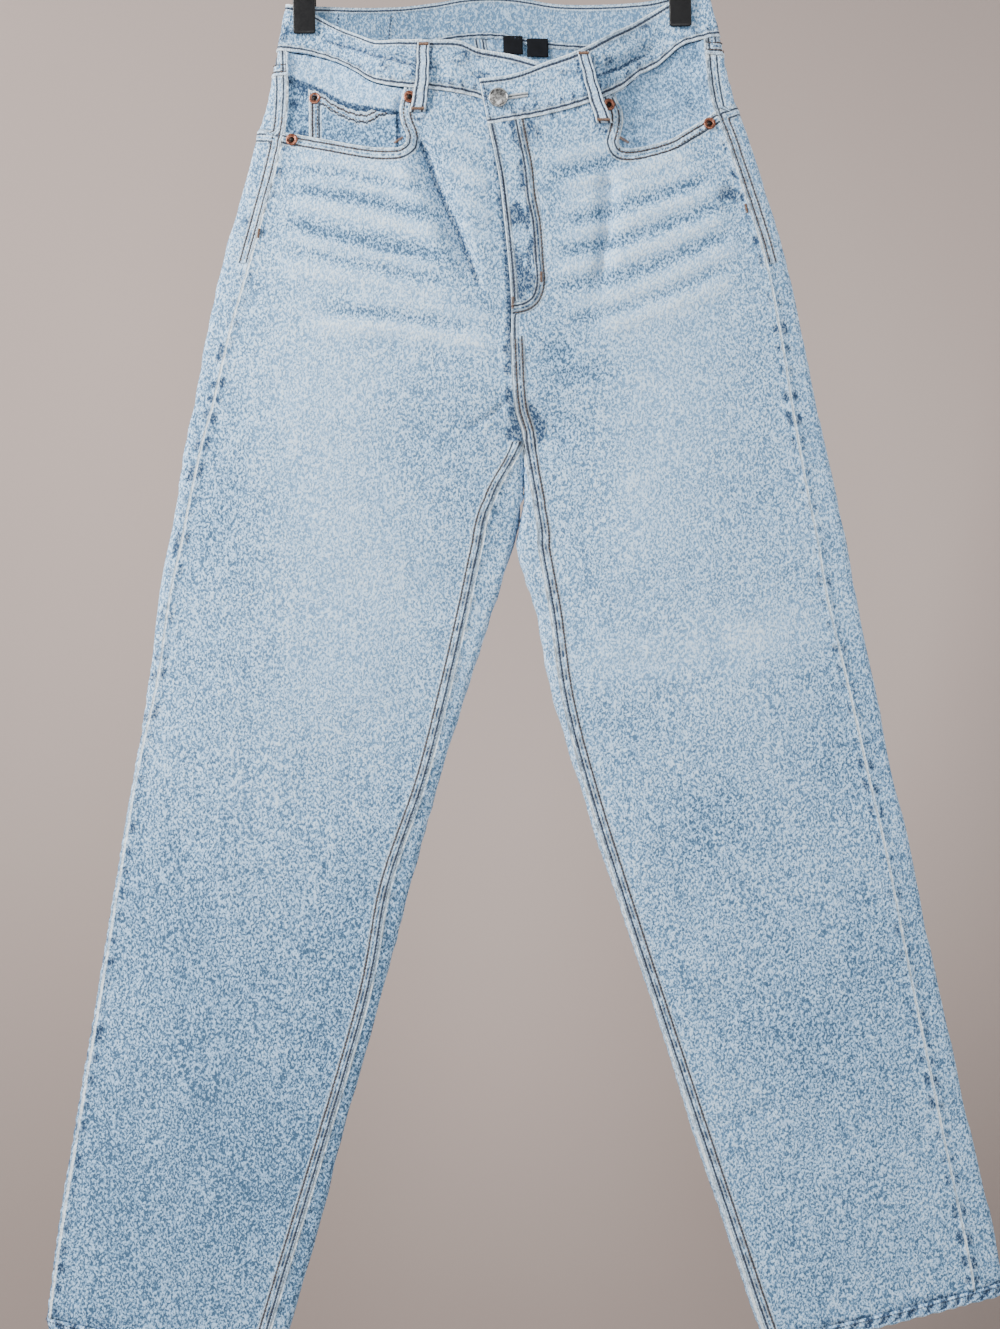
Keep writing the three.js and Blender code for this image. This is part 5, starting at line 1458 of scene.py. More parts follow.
def label(name, low_x, high_x, top_z, foot_z, folded):
    """A tape sewn in at its upper edge. A folded one hangs in a loop."""
    steps = 16
    u = np.linspace(0, 1, 14)
    if folded:
        turn = np.linspace(0, math.pi, 9)
        length = top_z - foot_z
        front = [(0.0, top_z - length * t) for t in np.linspace(0, 0.92, steps)]
        bend = [(0.55 - 0.55 * math.cos(a), foot_z + 0.55 - 0.55 * math.sin(a)) for a in turn]
        back = [(1.1, mix(foot_z + 0.6, top_z, t)) for t in np.linspace(0.06, 1, steps)]
        profile = np.array(front + bend + back)
    else:
        profile = np.array([(0.0, z) for z in np.linspace(top_z, foot_z, steps)])
    x = np.broadcast_to(mix(low_x, high_x, u)[None, :], (len(profile), 14)).copy()
    z = np.repeat(profile[:, 1:2], 14, axis=1)
    sag = 0.5 * np.sin(u * math.pi)[None, :] * (top_z - z) / (top_z - foot_z)
    y = LABEL_Y - (1.2 if folded else 0.2) + np.repeat(profile[:, 0:1], 14, axis=1) - sag
    points = np.stack([x, y, z + 0.25 * np.sin(u * 5)[None, :]], axis=-1)
    normals = unit(np.cross(np.gradient(points, axis=1), -np.gradient(points, axis=0)))
    piece = shell(f"cloth_{name}", points, normals, 0.4, tape)
    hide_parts(name)
    return piece


label("label_flat", 6, 22.6, -117, -132.5, False)
label("label_folded", 26, 44, -120, -135.5, True)

# %% [markdown]
# ## Belt loops
# A strip of denim folded in three, sewn down at both ends with close bar tacks, standing off the
# waistband between them. Its edges are worn pale and its two rows of stitches pucker it. It could be
# a bent block. Each row of its points is set on the highest place under it, so it never cuts in.

# %% Belt loops
LOOP_WIDTH = 11.6
LOOP_WALL = 1.5
LOOP_STAND = 2.0
LOOPS = (
    ("belt_loop_front_left", LEFT, True, (-59, -134), (-65, -191)),
    ("belt_loop_front_right", RIGHT, True, (70, -144), (88, -203)),
    ("belt_loop_back_left", LEFT, False, (-81, -93), (-83, -146)),
    ("belt_loop_back_middle", RIGHT, False, (1, -85), (1, -140)),
    ("belt_loop_back_right", RIGHT, False, (81, -95), (83, -152)),
)


def surface_depth(half, front, x, z):
    table = half["band"] if front else BAND_BACK
    bottom, top = height_at(table, BOTTOM, x), height_at(table, TOP, x)
    k = np.clip((z - bottom) / (top - bottom), 0, 1)
    reach, q = place_on(half, front, x, np.minimum(z, bottom - 0.5))
    panel = np.abs(cloth_point(half, reach, q)[..., 1])
    band = waist_depth(half, front, x / (1 - WAIST_LEAN * k), pinched_radius(k), WAIST_FOLD_RADIUS)
    return np.where(z < bottom - 0.5, panel, np.maximum(band, 0))


def loop_grid(half, front, top, foot, rows=40, columns=11):
    t = np.linspace(0, 1, rows)
    u = np.linspace(-0.5, 0.5, columns)
    z = mix(top[1], foot[1], t)[:, None] + 0 * u
    x = mix(top[0], foot[0], t)[:, None] + u[None, :] * LOOP_WIDTH * mix(0.84, 1.12, t * t)[:, None]
    base = surface_depth(half, front, x, z).max(axis=1, keepdims=True)
    smoothed = np.convolve(np.pad(base[:, 0], 3, mode="edge"), np.ones(7) / 7, "valid")[:, None]
    stand = 0.3 + LOOP_STAND * (np.sin(math.pi * t) ** 0.6)[:, None] + LOOP_WALL
    sign = -1 if front else 1
    slack = 0.35 * np.sin(t * 9 + top[0])[:, None] * np.sin(math.pi * t)[:, None]
    edges = 0.35 * bell((0.5 - np.abs(u)) * LOOP_WIDTH, 1.2)[None, :]
    groove = -0.3 * bell((0.5 - np.abs(u)) * LOOP_WIDTH - 2.3, 0.8)[None, :]
    pucker = 0.14 * np.sin(t * 62)[:, None] * np.cos(u * 9)[None, :]
    out = np.maximum(base, smoothed) + stand + slack + edges + groove + pucker
    x = x + 0.25 * np.sin(t * 23 + 1)[:, None] + 0.9 * np.sin(t * 5.2 + top[0] * 0.02)[:, None]
    points = np.stack([x, sign * out, z], axis=-1)
    normals = np.zeros_like(points)
    normals[..., 1] = sign
    return points, normals, t, u


def belt_loop(name, half, front, top, foot):
    points, normals, t, u = loop_grid(half, front, top, foot)
    inset = (0.5 - np.abs(u)) * LOOP_WIDTH
    rows = bell(inset - 2.4, 1.1)[None, :] * np.clip(0.6 + 0.6 * np.sin(t * 48), 0, 1)[:, None]
    ends = bell(np.minimum(t, 1 - t) * 57, 4)[:, None]
    marks = {"fade": np.repeat((0.5 + 0.5 * np.cos(u * 12))[None, :], len(t), axis=0) + 0.3,
             "dark": np.clip(0.75 * rows + 0.35 * ends, 0, 1),
             "seam": np.repeat(inset[None, :] + 0.2, len(t), axis=0),
             "row": np.repeat(inset[None, :] + 0.7, len(t), axis=0)}
    piece = shell(f"cloth_{name}", points, normals, LOOP_WALL, loop_denim, marks)
    return finish_cloth(piece, name)


for loop in LOOPS:
    belt_loop(*loop)

# %% [markdown]
# ## Rivets and the button
# Copper rivets with a raised rim round a dark nub hold the pocket corners. The button is a
# cast shank button: a domed face inside a rolled rim, worn bright on the high parts. They could be
# stacked cylinders with hard steps. Profiles turned about an axis give soft worn edges instead.

# %% Turned pieces
def turned(name, profile, sides, centre, axis, material, slot, wobble=0.0):
    """A closed turned piece from radius and height pairs that start and end on the axis."""
    profile = np.array(profile, float)
    angle = np.linspace(0, 2 * math.pi, sides, endpoint=False)
    ring = np.stack([np.cos(angle), np.sin(angle)], axis=-1)
    middle = profile[1:-1]
    points = []
    for k, (radius, height) in enumerate(middle):
        uneven = 1 + wobble * np.sin(3 * angle + k) + wobble * np.sin(5 * angle + 2 * k)
        points.append(np.column_stack([ring * (radius * uneven)[:, None], np.full(sides, height)]))
    points = np.concatenate(points + [np.array([[0, 0, profile[0, 1]], [0, 0, profile[-1, 1]]])])
    turn = np.array(Vector((0, 0, 1)).rotation_difference(Vector(axis)).to_matrix())
    points = points @ turn.T + np.asarray(centre)
    faces = []
    for k in range(len(middle) - 1):
        for j in range(sides):
            after = (j + 1) % sides
            faces.append((k * sides + j, k * sides + after, (k + 1) * sides + after, (k + 1) * sides + j))
    first, last = len(middle) * sides, len(middle) * sides + 1
    for j in range(sides):
        after = (j + 1) % sides
        faces.append((first, after, j))
        faces.append((last, (len(middle) - 1) * sides + j, (len(middle) - 1) * sides + after))
    return make_object(name, fill_mesh(name, points, faces), material)


def metal(name, colour, dark, rough, bumps=0.25, metallic=1.0):
    """Worn metal: darker in patches, with fine scratches in its roughness."""
    material, tree, shader = new_material(name)
    place = placed(tree)
    worn = remap(tree, noise(tree, place, 420, 4.0, 0.65), 0.38, 0.64)
    tree.links.new(blend_colour(tree, worn, dark, colour), shader.inputs["Base Color"])
    fine = noise(tree, place, 1500, 3.0, 0.7)
    tree.links.new(remap(tree, fine, 0.3, 0.7, rough * 0.7, min(rough * 1.5, 1)), shader.inputs["Roughness"])
    fine_relief(tree, shader, noise(tree, place, 700, 3.0, 0.6), bumps, 0.00025)
    shader.inputs["Metallic"].default_value = metallic
    return material


copper = metal("worn copper", (0.46, 0.20, 0.13), (0.13, 0.05, 0.035), 0.45)
tarnish = metal("dark rivet middle", (0.035, 0.03, 0.028), (0.01, 0.009, 0.009), 0.5)
silver = metal("worn silver", (0.42, 0.42, 0.41), (0.10, 0.10, 0.10), 0.36)
silver_rim = metal("bright silver rim", (0.62, 0.62, 0.61), (0.22, 0.22, 0.215), 0.3)

# %% Rivets
RIVET_RIM = ((0, -0.3), (4.6, -0.3), (5.0, 0.1), (5.05, 0.55), (4.7, 0.95), (4.1, 1.15), (3.5, 1.05),
             (3.0, 0.7), (2.6, 0.45), (2.3, 0.4), (0, 0.4))
RIVET_MIDDLE = ((0, 0.2), (2.2, 0.3), (2.25, 0.6), (1.9, 0.85), (1.4, 1.1),
                (0.9, 1.45), (0.45, 1.65), (0, 1.7))
RIVETS = (
    ("rivet_pocket_left_outer", LEFT, -171, -208, 0.0),
    ("rivet_coin_pocket", LEFT, -152, -172, COIN_LIFT),
    ("rivet_pocket_left_inner", LEFT, -72, -178.5, 0.0),
    ("rivet_pocket_right_inner", RIGHT, 92, -187, 0.0),
    ("rivet_pocket_right_outer", RIGHT, 176, -201, 0.0),
)
for name, half, x, z, lift in RIVETS:
    reach, q = place_on(half, True, np.array([x]), np.array([z]))
    point, normal, _ = cloth(half, reach, q, lift + 0.25)
    rim = turned(f"rim_{name}", RIVET_RIM, 40, point[0], normal[0], copper, "rivet", 0.012)
    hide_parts(name)
    turned(f"middle_{name}", RIVET_MIDDLE, 28, point[0], normal[0], tarnish, "rivet", 0.02)

# %% Button
BUTTON_AT = (1, -181)
OVERLAP_FACE = -(WAIST_FOLD_RADIUS + FRONT_BULGE)
BUTTON_FACE = ((0, 0.4), (6.2, 0.4), (6.9, 0.7), (7.15, 1.3), (6.9, 1.85), (6.0, 2.05), (4.8, 2.35),
               (3.2, 2.75), (1.6, 2.98), (0, 3.05))
BUTTON_RIM = ((0, -0.2), (7.0, -0.2), (7.8, 0.2), (8.1, 1.0), (8.0, 1.8), (7.6, 2.35), (7.1, 2.4),
              (6.75, 2.0), (6.7, 1.3), (6.5, 0.8), (0, 0.8))
BUTTON_SHANK = ((0, -3.4), (2.6, -3.4), (2.4, -2.4), (2.4, 0.2), (0, 0.2))
button_centre = (BUTTON_AT[0], OVERLAP_FACE - 0.9, BUTTON_AT[1])
turned("button_shank", BUTTON_SHANK, 20, button_centre, (0, -1, 0), silver, "button")
button_rim = turned("button_rim", BUTTON_RIM, 64, button_centre, (0, -1, 0), silver_rim, "button", 0.002)
turned("button_face", BUTTON_FACE, 64, button_centre, (0, -1, 0), silver, "button", 0.003)
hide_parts("button")
print("button at", [round(value) for value in button_centre])

# %% [markdown]
# ## The hanger
# Only the feet of two black clips show at the front. The rest is the plainest clip hanger: jaws with
# a ribbed grip, a round bar, sprung straps and a wire hook. They could be cut from blocks. Rings
# carried along a path are chosen, because one function makes all four kinds.

# %% Hanger
def swept(name, path, ring, material, sideways=None):
    """A closed bar: one ring of points, x and y, carried along a path. ring may differ at each step."""
    path = np.asarray(path, float)
    along = unit(np.gradient(path, axis=0))
    side = np.array(sideways if sideways is not None else (0, 1, 0), float)
    points = []
    for k, centre in enumerate(path):
        first = unit(side - along[k] * np.dot(side, along[k]))
        second = np.cross(along[k], first)
        here = np.asarray(ring[k] if isinstance(ring, list) else ring, float)
        points.append(centre + here[:, :1] * first + here[:, 1:] * second)
    count = len(points[0])
    points = np.concatenate(points)
    faces = []
    for k in range(len(path) - 1):
        for j in range(count):
            after = (j + 1) % count
            faces.append((k * count + j, k * count + after, (k + 1) * count + after, (k + 1) * count + j))
    faces.append(tuple(range(count))[::-1])
    faces.append(tuple(range((len(path) - 1) * count, len(path) * count)))
    return make_object(name, fill_mesh(name, points, faces), material)


def circle(radius, sides=20):
    a = np.linspace(0, 2 * math.pi, sides, endpoint=False)
    return np.stack([radius * np.cos(a), radius * np.sin(a)], axis=-1)


def rounded_block(half_a, half_b, corner, steps=4):
    """Outline of a block with rounded corners."""
    corners = []
    for k, (a, b) in enumerate(((1, 1), (-1, 1), (-1, -1), (1, -1))):
        for turn in np.linspace(0, math.pi / 2, steps + 1):
            angle = turn + k * math.pi / 2
            corners.append((a * (half_a - corner) + corner * math.cos(angle),
                            b * (half_b - corner) + corner * math.sin(angle)))
    return np.array(corners)


def plastic():
    material, tree, shader = new_material("black plastic")
    place = placed(tree)
    patches = noise(tree, place, 90, 3.0, 0.6)
    colour = blend_colour(tree, patches, (0.003, 0.003, 0.0035), (0.008, 0.008, 0.009))
    tree.links.new(colour, shader.inputs["Base Color"])
    scuffs = noise(tree, place, 600, 3.0, 0.7)
    tree.links.new(remap(tree, scuffs, 0.3, 0.7, 0.32, 0.5), shader.inputs["Roughness"])
    shader.inputs["Specular IOR Level"].default_value = 0.25
    fine_relief(tree, shader, noise(tree, place, 900, 2.0), 0.15, 0.0002)
    return material


black_plastic = plastic()
bright_wire = metal("bright wire", (0.62, 0.63, 0.65), (0.42, 0.43, 0.45), 0.22, 0.08)
BAR_Z, BAR_RADIUS, BAR_FROM, BAR_TO = -72, 4.0, -177, 172
JAW_WIDTH, JAW_WALL, JAW_TOP, JAW_FOOT = 18.5, 3.5, -56, -118
RIBS_FOOT, RIB_PITCH = -76, 3.1
HOOK_WIRE, HOOK_INNER = 1.7, 18
SPRING_TOP, SPRING_FOOT, SPRING_WALL = -78, -84, 1.2
CLIPS = (("left", -159.5), ("right", 154))

bar_x = np.array([BAR_FROM, BAR_FROM + 0.8, BAR_FROM + 2, *np.linspace(BAR_FROM + 3, BAR_TO - 3, 60),
                  BAR_TO - 2, BAR_TO - 0.8, BAR_TO])
bar_rings = [circle(BAR_RADIUS * r, 28) for r in (0.72, 0.9, 1.0, *np.ones(60), 1.0, 0.9, 0.72)]
bar = swept("bar", [(x, 0, BAR_Z) for x in bar_x], bar_rings, black_plastic)
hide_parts("hanger_bar")

turn = np.radians(np.linspace(-55, 205, 60))
arc = HOOK_INNER + HOOK_WIRE
hook_line = np.concatenate([
    curve([(0, 0, BAR_Z + BAR_RADIUS), (0, 0, -52), (2.5, 0, -43),
           (arc * math.cos(turn[0]), 0, arc * math.sin(turn[0]) - HOOK_INNER)], 8)[:-1],
    np.stack([arc * np.cos(turn), 0 * turn, arc * np.sin(turn) - HOOK_INNER], axis=-1)])
hook_rings = [circle(HOOK_WIRE, 16)] * (len(hook_line) - 3)
hook_rings += [circle(HOOK_WIRE * r, 16) for r in (0.95, 0.8, 0.4)]
hook = swept("hook", hook_line, hook_rings, bright_wire)
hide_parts("hanger_hook")

inner = BAR_RADIUS + 0.3
for side, x in CLIPS:
    for place, sign in (("front", -1), ("back", 1)):
        heights = np.concatenate([[JAW_TOP, JAW_TOP - 0.5], np.linspace(JAW_TOP - 1.2, JAW_FOOT + 1.2, 64),
                                  [JAW_FOOT + 0.4, JAW_FOOT]])
        rings = []
        for z in heights:
            tip = 1 - 0.125 * (1 - smooth(z, JAW_FOOT, JAW_FOOT + 1.2))
            ribs = 0.28 * np.sin((z - JAW_FOOT) / RIB_PITCH * 2 * math.pi) * (z > RIBS_FOOT)
            thick = JAW_WALL / 2 - 0.3 + ribs * 0.5
            half_wide = JAW_WIDTH / 2 - 0.3 * (z > RIBS_FOOT)
            rings.append(rounded_block(thick * tip, half_wide * tip, min(1.1, thick * 0.8)))
        line = [(x, sign * (inner + JAW_WALL / 2), z) for z in heights]
        jaw = swept(f"jaw_{place}_{side}", line, rings, black_plastic)
        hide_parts(f"clip_jaw_{place}_{side}")
    strap = rounded_block(JAW_WIDTH / 2 + 0.9, inner + JAW_WALL + 0.9, 1.6)
    closed = np.concatenate([strap, strap[:1]])
    level = np.full(len(closed), (SPRING_TOP + SPRING_FOOT) / 2)
    path = np.column_stack([x + closed[:, 0], closed[:, 1], level])
    strip = rounded_block((SPRING_TOP - SPRING_FOOT) / 2, SPRING_WALL / 2, 0.3, 2)
    spring = swept(f"spring_{side}", path, strip, bright_wire, (0, 0, 1))
    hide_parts(f"clip_spring_{side}")
print("hanger pieces done")

# %% [markdown]
# ## Stitches
# Every seam is sewn with a thick thread that shows as short raised dashes about 3 mm long. Each dash
# is a small closed capsule laid on the finished surface, so that the rows follow the puckers. They
# could be painted on, but thread casts a shadow. The rows are joined by thread colour and region.

# %% Stitch helpers
STITCH = 2.5
STITCH_PITCH = 3.0
THREAD = 0.6
rows_of_stitches = {}


def resample(points, normals, pitch):
    lengths = np.concatenate([[0], np.cumsum(np.linalg.norm(np.diff(points, axis=0), axis=-1))])
    at = np.arange(pitch * 0.5, lengths[-1] - pitch * 0.5, pitch)

    def pick(values, place):
        return np.stack([np.interp(place, lengths, values[:, k]) for k in range(3)], axis=-1)

    return [pick(points, at + shift * STITCH) for shift in (-0.5, 0, 0.5)], unit(pick(normals, at))


def lay_stitches(group, points, normals, pitch=STITCH_PITCH, radius=THREAD, raised=0.3):
    """Adds a row of capsules along a dense line of surface points."""
    if len(points) < 3:
        return
    (start, middle, end), up = resample(np.asarray(points), np.asarray(normals), pitch)
    if len(middle) == 0:
        return
    along = unit(end - start)
    side = unit(np.cross(up, along))
    uneven = 1 + 0.12 * np.sin(np.arange(len(middle)) * 2.4)
    shapes = []
    for centre, size, height in ((start, 0.35, -0.1), (middle, 1.0, raised), (end, 0.35, -0.1)):
        for a, b in ((1, 0), (0, 1), (-1, 0), (0, -1)):
            width = radius * size * uneven
            shapes.append(centre + side * (a * width)[:, None] + up * (b * width * 0.8 + height)[:, None])
    rows_of_stitches.setdefault(group, []).append(np.stack(shapes, axis=1))


STITCH_FACES = [(0, 1, 2, 3), (11, 10, 9, 8)]
for ring in (0, 4):
    for j in range(4):
        after = (j + 1) % 4
        STITCH_FACES.append((ring + after, ring + j, ring + 4 + j, ring + 4 + after))


def thread(name, colour, dark):
    """Twisted cotton thread."""
    material, tree, shader = new_material(name)
    twist = noise(tree, placed(tree, scale=(1, 1, 0.4)), 1300, 2.0, 0.6)
    twisted = blend_colour(tree, remap(tree, twist, 0.35, 0.65), dark, colour)
    tree.links.new(twisted, shader.inputs["Base Color"])
    fine_relief(tree, shader, twist, 0.5, 0.0002)
    shader.inputs["Roughness"].default_value = 0.7
    return material


THREADS = {
    "tan": thread("tan thread", (0.15, 0.115, 0.10), (0.06, 0.048, 0.045)),
    "navy": thread("navy thread", (0.055, 0.085, 0.15), (0.022, 0.035, 0.065)),
    "rust": thread("rust bar tack thread", (0.25, 0.145, 0.095), (0.10, 0.062, 0.045)),
    "pale": thread("pale thread", (0.62, 0.66, 0.68), (0.38, 0.42, 0.46)),
}


def stitch_object(group):
    """Joins a group's rows to one piece. The group's last word is its thread."""
    blocks = np.concatenate(rows_of_stitches[group])
    count = len(blocks)
    points = blocks.reshape(-1, 3)
    faces = (np.array(STITCH_FACES)[None] + (np.arange(count) * 12)[:, None, None]).reshape(-1, 4)
    mesh = fill_mesh(f"stitches_{group}", points, faces.tolist())
    return make_object(f"stitches_{group}", mesh, THREADS[group.split("_")[-1]]), count


def row_on(half, front, line, group, lift=0.12, **extra):
    """A row along a line given in x and z."""
    line = np.asarray(line, float)
    lengths = np.concatenate([[0], np.cumsum(np.hypot(*np.diff(line, axis=0).T))])
    at = np.arange(0, lengths[-1], 0.75)
    x, z = np.interp(at, lengths, line[:, 0]), np.interp(at, lengths, line[:, 1])
    reach, q = place_on(half, front, x, z)
    points, normals, _ = cloth(half, reach, q, lift)
    lay_stitches(group, points, normals, **extra)


def row_down(half, reach_at, start, end, group, lift=0.12, **extra):
    """A row down the half: reach_at gives the reach for rows q."""
    rows = even_rows(half, start, end, 0.9)
    points, normals, _ = cloth(half, reach_at(rows), rows, lift)
    lay_stitches(group, points, normals, **extra)


def bar_tack(points, normals, across, wide, group="tacks_rust", count=11):
    """Close satin stitches side by side along a short line, each wide across it."""
    points, normals, across = np.asarray(points), np.asarray(normals), unit(np.asarray(across, float))
    share = np.linspace(0, 1, count)
    at = points[0] + (points[-1] - points[0]) * share[:, None]
    up = unit(np.repeat(normals[:1], count, axis=0))
    shapes = []
    for shift, size, height in ((-0.5, 0.4, 0.0), (0, 1.0, 0.45), (0.5, 0.4, 0.0)):
        centre = at + across * (shift * wide)
        along = unit(np.cross(up, np.repeat(across[None], count, axis=0)))
        for a, b in ((1, 0), (0, 1), (-1, 0), (0, -1)):
            shapes.append(centre + along * (a * 0.42 * size) + up * (b * 0.35 * size + height))
    rows_of_stitches.setdefault(group, []).append(np.stack(shapes, axis=1))


def offset_line(line, distance):
    """The same line moved sideways, to the left of its run when above 0."""
    line = np.asarray(line, float)
    run = unit(np.gradient(line, axis=0))
    return line + distance * np.stack([-run[:, 1], run[:, 0]], axis=-1)


# %% Rows on the legs and hips
def width_at(half, q):
    return half_row(half, q)["width"]


for half in HALVES:
    name = half["name"]
    for inset in ROW_INSETS:
        row_down(half, lambda q: half_row(half, q)["inseam"] + inset, CROTCH_ROW + 0.25, HEM_TOP_ROW - 0.1,
                 f"inseam_{name}_tan" if inset > 5 else f"inseam_{name}_navy")
    for inset in ROW_INSETS:
        row_down(half, lambda q: width_at(half, q) - half_row(half, q)["side"] + inset,
                 HIP_ROWS_FROM, HIP_ROWS_END, f"hips_{name}_tan")
    for inset in ROW_INSETS if half is LEFT else ():
        row_down(half, lambda q: 2 * width_at(half, q) - inset, 0.1, CROTCH_ROW - 0.3, f"back_{name}_tan")
    share = np.linspace(0, 1, 400)
    for inset in ROW_INSETS:
        q = yoke_seam(half, share) - inset / WAIST_ROW_MM
        row = half_row(half, q)
        start = row["width"] - row["side"]
        reach = start + (2 * row["width"] - start) * share
        points, normals, _ = cloth(half, reach, q, 0.75)
        lay_stitches(f"back_{name}_tan", points, normals)
    around = np.linspace(0, 1, 700)
    q = np.full(700, HEM_TOP_ROW + 0.1)
    points, normals = cloth_frame(half, 2 * width_at(half, q) * around, q)
    lay_stitches(f"hem_{name}_navy", points + normals * 0.95, normals, pitch=2.9)
    for inset in ROW_INSETS:
        for sign in (-1, 1):
            t = np.linspace(0, 0.985, 200)
            half_wide = mix(POCKET_HALF_TOP, POCKET_HALF_FOOT, t) - inset
            x = half["sign"] * (POCKET_CENTRE + POCKET_DRIFT * t) + sign * half_wide
            from_middle = half_wide / mix(POCKET_HALF_TOP, POCKET_HALF_FOOT, t)
            z = mix(POCKET_TOP, mix(POCKET_POINT, POCKET_CORNER, from_middle), t)
            row_on(half, False, np.column_stack([x, z]), f"back_{name}_tan", DENIM + 0.9)
            u = np.linspace(0, 0.97, 120) * sign
            x, z = pocket_place(half, 1 - inset / POCKET_LENGTH, u)
            row_on(half, False, np.column_stack([x, z]), f"back_{name}_tan", DENIM + 0.9)
    u = np.linspace(-0.98, 0.98, 200)
    x, z = pocket_place(half, 0, u)
    row_on(half, False, np.column_stack([x, z - POCKET_TURN]), f"back_{name}_tan", DENIM + 1.1)

for inset in ROW_INSETS:
    row_down(RIGHT, lambda q: np.full(q.shape, inset), 3.95, CROTCH_ROW - 0.1, "rise_tan")

# %% Rows on the fly and the pocket mouths
NEAR_ROW, FAR_ROW = ROW_INSETS
J_ROW_APART = 5.6
ON_CLOTH = 0.15
row_on(RIGHT, True, J_STITCH, "fly_tan", 0.5)
row_on(RIGHT, True, offset_line(J_STITCH, -J_ROW_APART)[4:-3], "fly_navy", ON_CLOTH)
row_on(RIGHT, True, offset_line(FLY_EDGE, NEAR_ROW)[:28], "fly_navy", ON_CLOTH)
row_on(LEFT, True, offset_line(MOUTH_LEFT_DOWN, NEAR_ROW)[8:], "mouths_tan", ON_CLOTH)
row_on(LEFT, True, offset_line(MOUTH_LEFT_DOWN, FAR_ROW)[8:-3], "mouths_tan", ON_CLOTH)
row_on(RIGHT, True, offset_line(MOUTH_RIGHT_DOWN, -NEAR_ROW)[6:], "mouths_tan", ON_CLOTH)
row_on(RIGHT, True, offset_line(MOUTH_RIGHT_DOWN, -FAR_ROW)[6:-3], "mouths_tan", ON_CLOTH)
for line, half in ((MOUTH_LEFT_OUT, LEFT), (MOUTH_RIGHT_OUT, RIGHT)):
    for drop in ROW_INSETS:
        shown = line[(half["sign"] * line[:, 0] < (176 if half is LEFT else 186))]
        row_on(half, True, shown[4 if drop > 5 else 2:] - [0, drop], "mouths_tan", ON_CLOTH)
row_on(LEFT, True, [(x, z - 3.2) for x, z in curve(COIN_TOP, 6)], "coin_tan", COIN_LIFT + 0.75)
row_on(LEFT, True, [(x, z - 7.6) for x, z in curve(COIN_TOP, 6)], "coin_tan", COIN_LIFT + 0.5)
for inset in (2.6, 7.0):
    down_side = [(COIN_TOP[0, 0] + inset, z) for z in np.linspace(-169, -212, 50)]
    row_on(LEFT, True, down_side, "coin_tan", COIN_LIFT + 0.5)

# %% Rows on the waistband
def band_row(places, k, group, lift=0.12, inner=False, **extra):
    points, normals, _ = band_surface(places, np.array([k, k + 0.02]), lift)
    points, normals = points[0], normals[0]
    if inner:
        points, normals = points - normals * (BAND_WALL + 2 * lift), -normals
    lay_stitches(group, points, normals, **extra)


fine_places = band_places(1.2)
for k in (0.085, 0.915):
    band_row(fine_places, k, "band_navy")
    inside = [place for place in fine_places if not place[1] and abs(place[2]) < 140]
    band_row(inside, k, "band_inside_navy", inner=True)
end_shares = np.linspace(0.1, 0.9, 40)
first_x = BAND_RIGHT[0][0] + 2.6
points, normals, _ = band_surface([(RIGHT, True, first_x), (RIGHT, True, first_x + 1)], end_shares, 0.12)
lay_stitches("band_navy", points[:, 0], normals[:, 0])
patch_run = [(LEFT, False, float(x)) for x in np.linspace(-91, -137, 50)]
for k in (0.17, 0.91):
    band_row(patch_run, k, "patch_tan", 1.9)
    band_row(patch_run, k, "band_inside_navy", inner=True)
for x in (-91.5, -136.5):
    places = [(LEFT, False, x), (LEFT, False, x - 1)]
    points, normals, _ = band_surface(places, np.linspace(0.2, 0.88, 40), 0.12)
    inside = points[:, 0] - normals[:, 0] * (BAND_WALL + 0.24)
    lay_stitches("band_inside_navy", inside, -normals[:, 0])
    lay_stitches("patch_tan", points[:, 0] + normals[:, 0] * 1.6, normals[:, 0])

# %% Rows and tacks on the belt loops
for name, half, front, top, foot in LOOPS:
    points, normals, t, u = loop_grid(half, front, top, foot, 120, 11)
    for column in (2, 8):
        towards_middle = 1 if column < 5 else -1
        line = (points[:, column] + points[:, column + towards_middle]) / 2
        lay_stitches("loops_navy", line, normals[:, column], pitch=2.7)
    for row in (4, 114):
        bar_tack([points[row, 1] + normals[row, 1] * 0.3, points[row, 9] + normals[row, 9] * 0.3],
                 [normals[row, 1]], (0, 0, 1), 2.6, "loops_rust", 17)

# %% Bar tacks on the fly, the pockets and the buttonhole
def tack_at(half, x, z, length, turn, wide, group="tacks_rust", count=11, lift=0.5):
    a = math.radians(turn)
    ends = np.array([[x - length / 2 * math.cos(a), z - length / 2 * math.sin(a)],
                     [x + length / 2 * math.cos(a), z + length / 2 * math.sin(a)]])
    reach, q = place_on(half, True, ends[:, 0], ends[:, 1])
    points, normals, _ = cloth(half, reach, q, lift)
    bar_tack(points, normals, (-math.sin(a), 0, math.cos(a)), wide, group, count)


tack_at(RIGHT, 9.5, -349, 9, 90, 3.0)
tack_at(RIGHT, 33.5, -328, 8, 90, 3.0)
tack_at(LEFT, -200, -285, 7, 78, 2.6)
tack_at(RIGHT, 205, -272, 7, 102, 2.6)
tack_at(LEFT, -82, -213, 8, 30, 2.6)
tack_at(RIGHT, 104, -216, 8, -30, 2.6)
hole_slope = np.array([[9.6, BUTTON_AT[1] + 0.6], [25, BUTTON_AT[1] + 2.4]])
for row_shift in (1.25, -1.25):
    ends = [(x, OVERLAP_FACE - 0.75, z + row_shift) for x, z in hole_slope]
    bar_tack(ends, [(0, -1, 0)], (0.1, 0, 1), 2.0, "buttonhole_pale", 26)
hole_x = np.linspace(8.6, 26, 16)
hole_y = np.full(len(hole_x), OVERLAP_FACE - 0.75)
hole_z = BUTTON_AT[1] + 0.6 + 0.115 * (hole_x - 8.6)
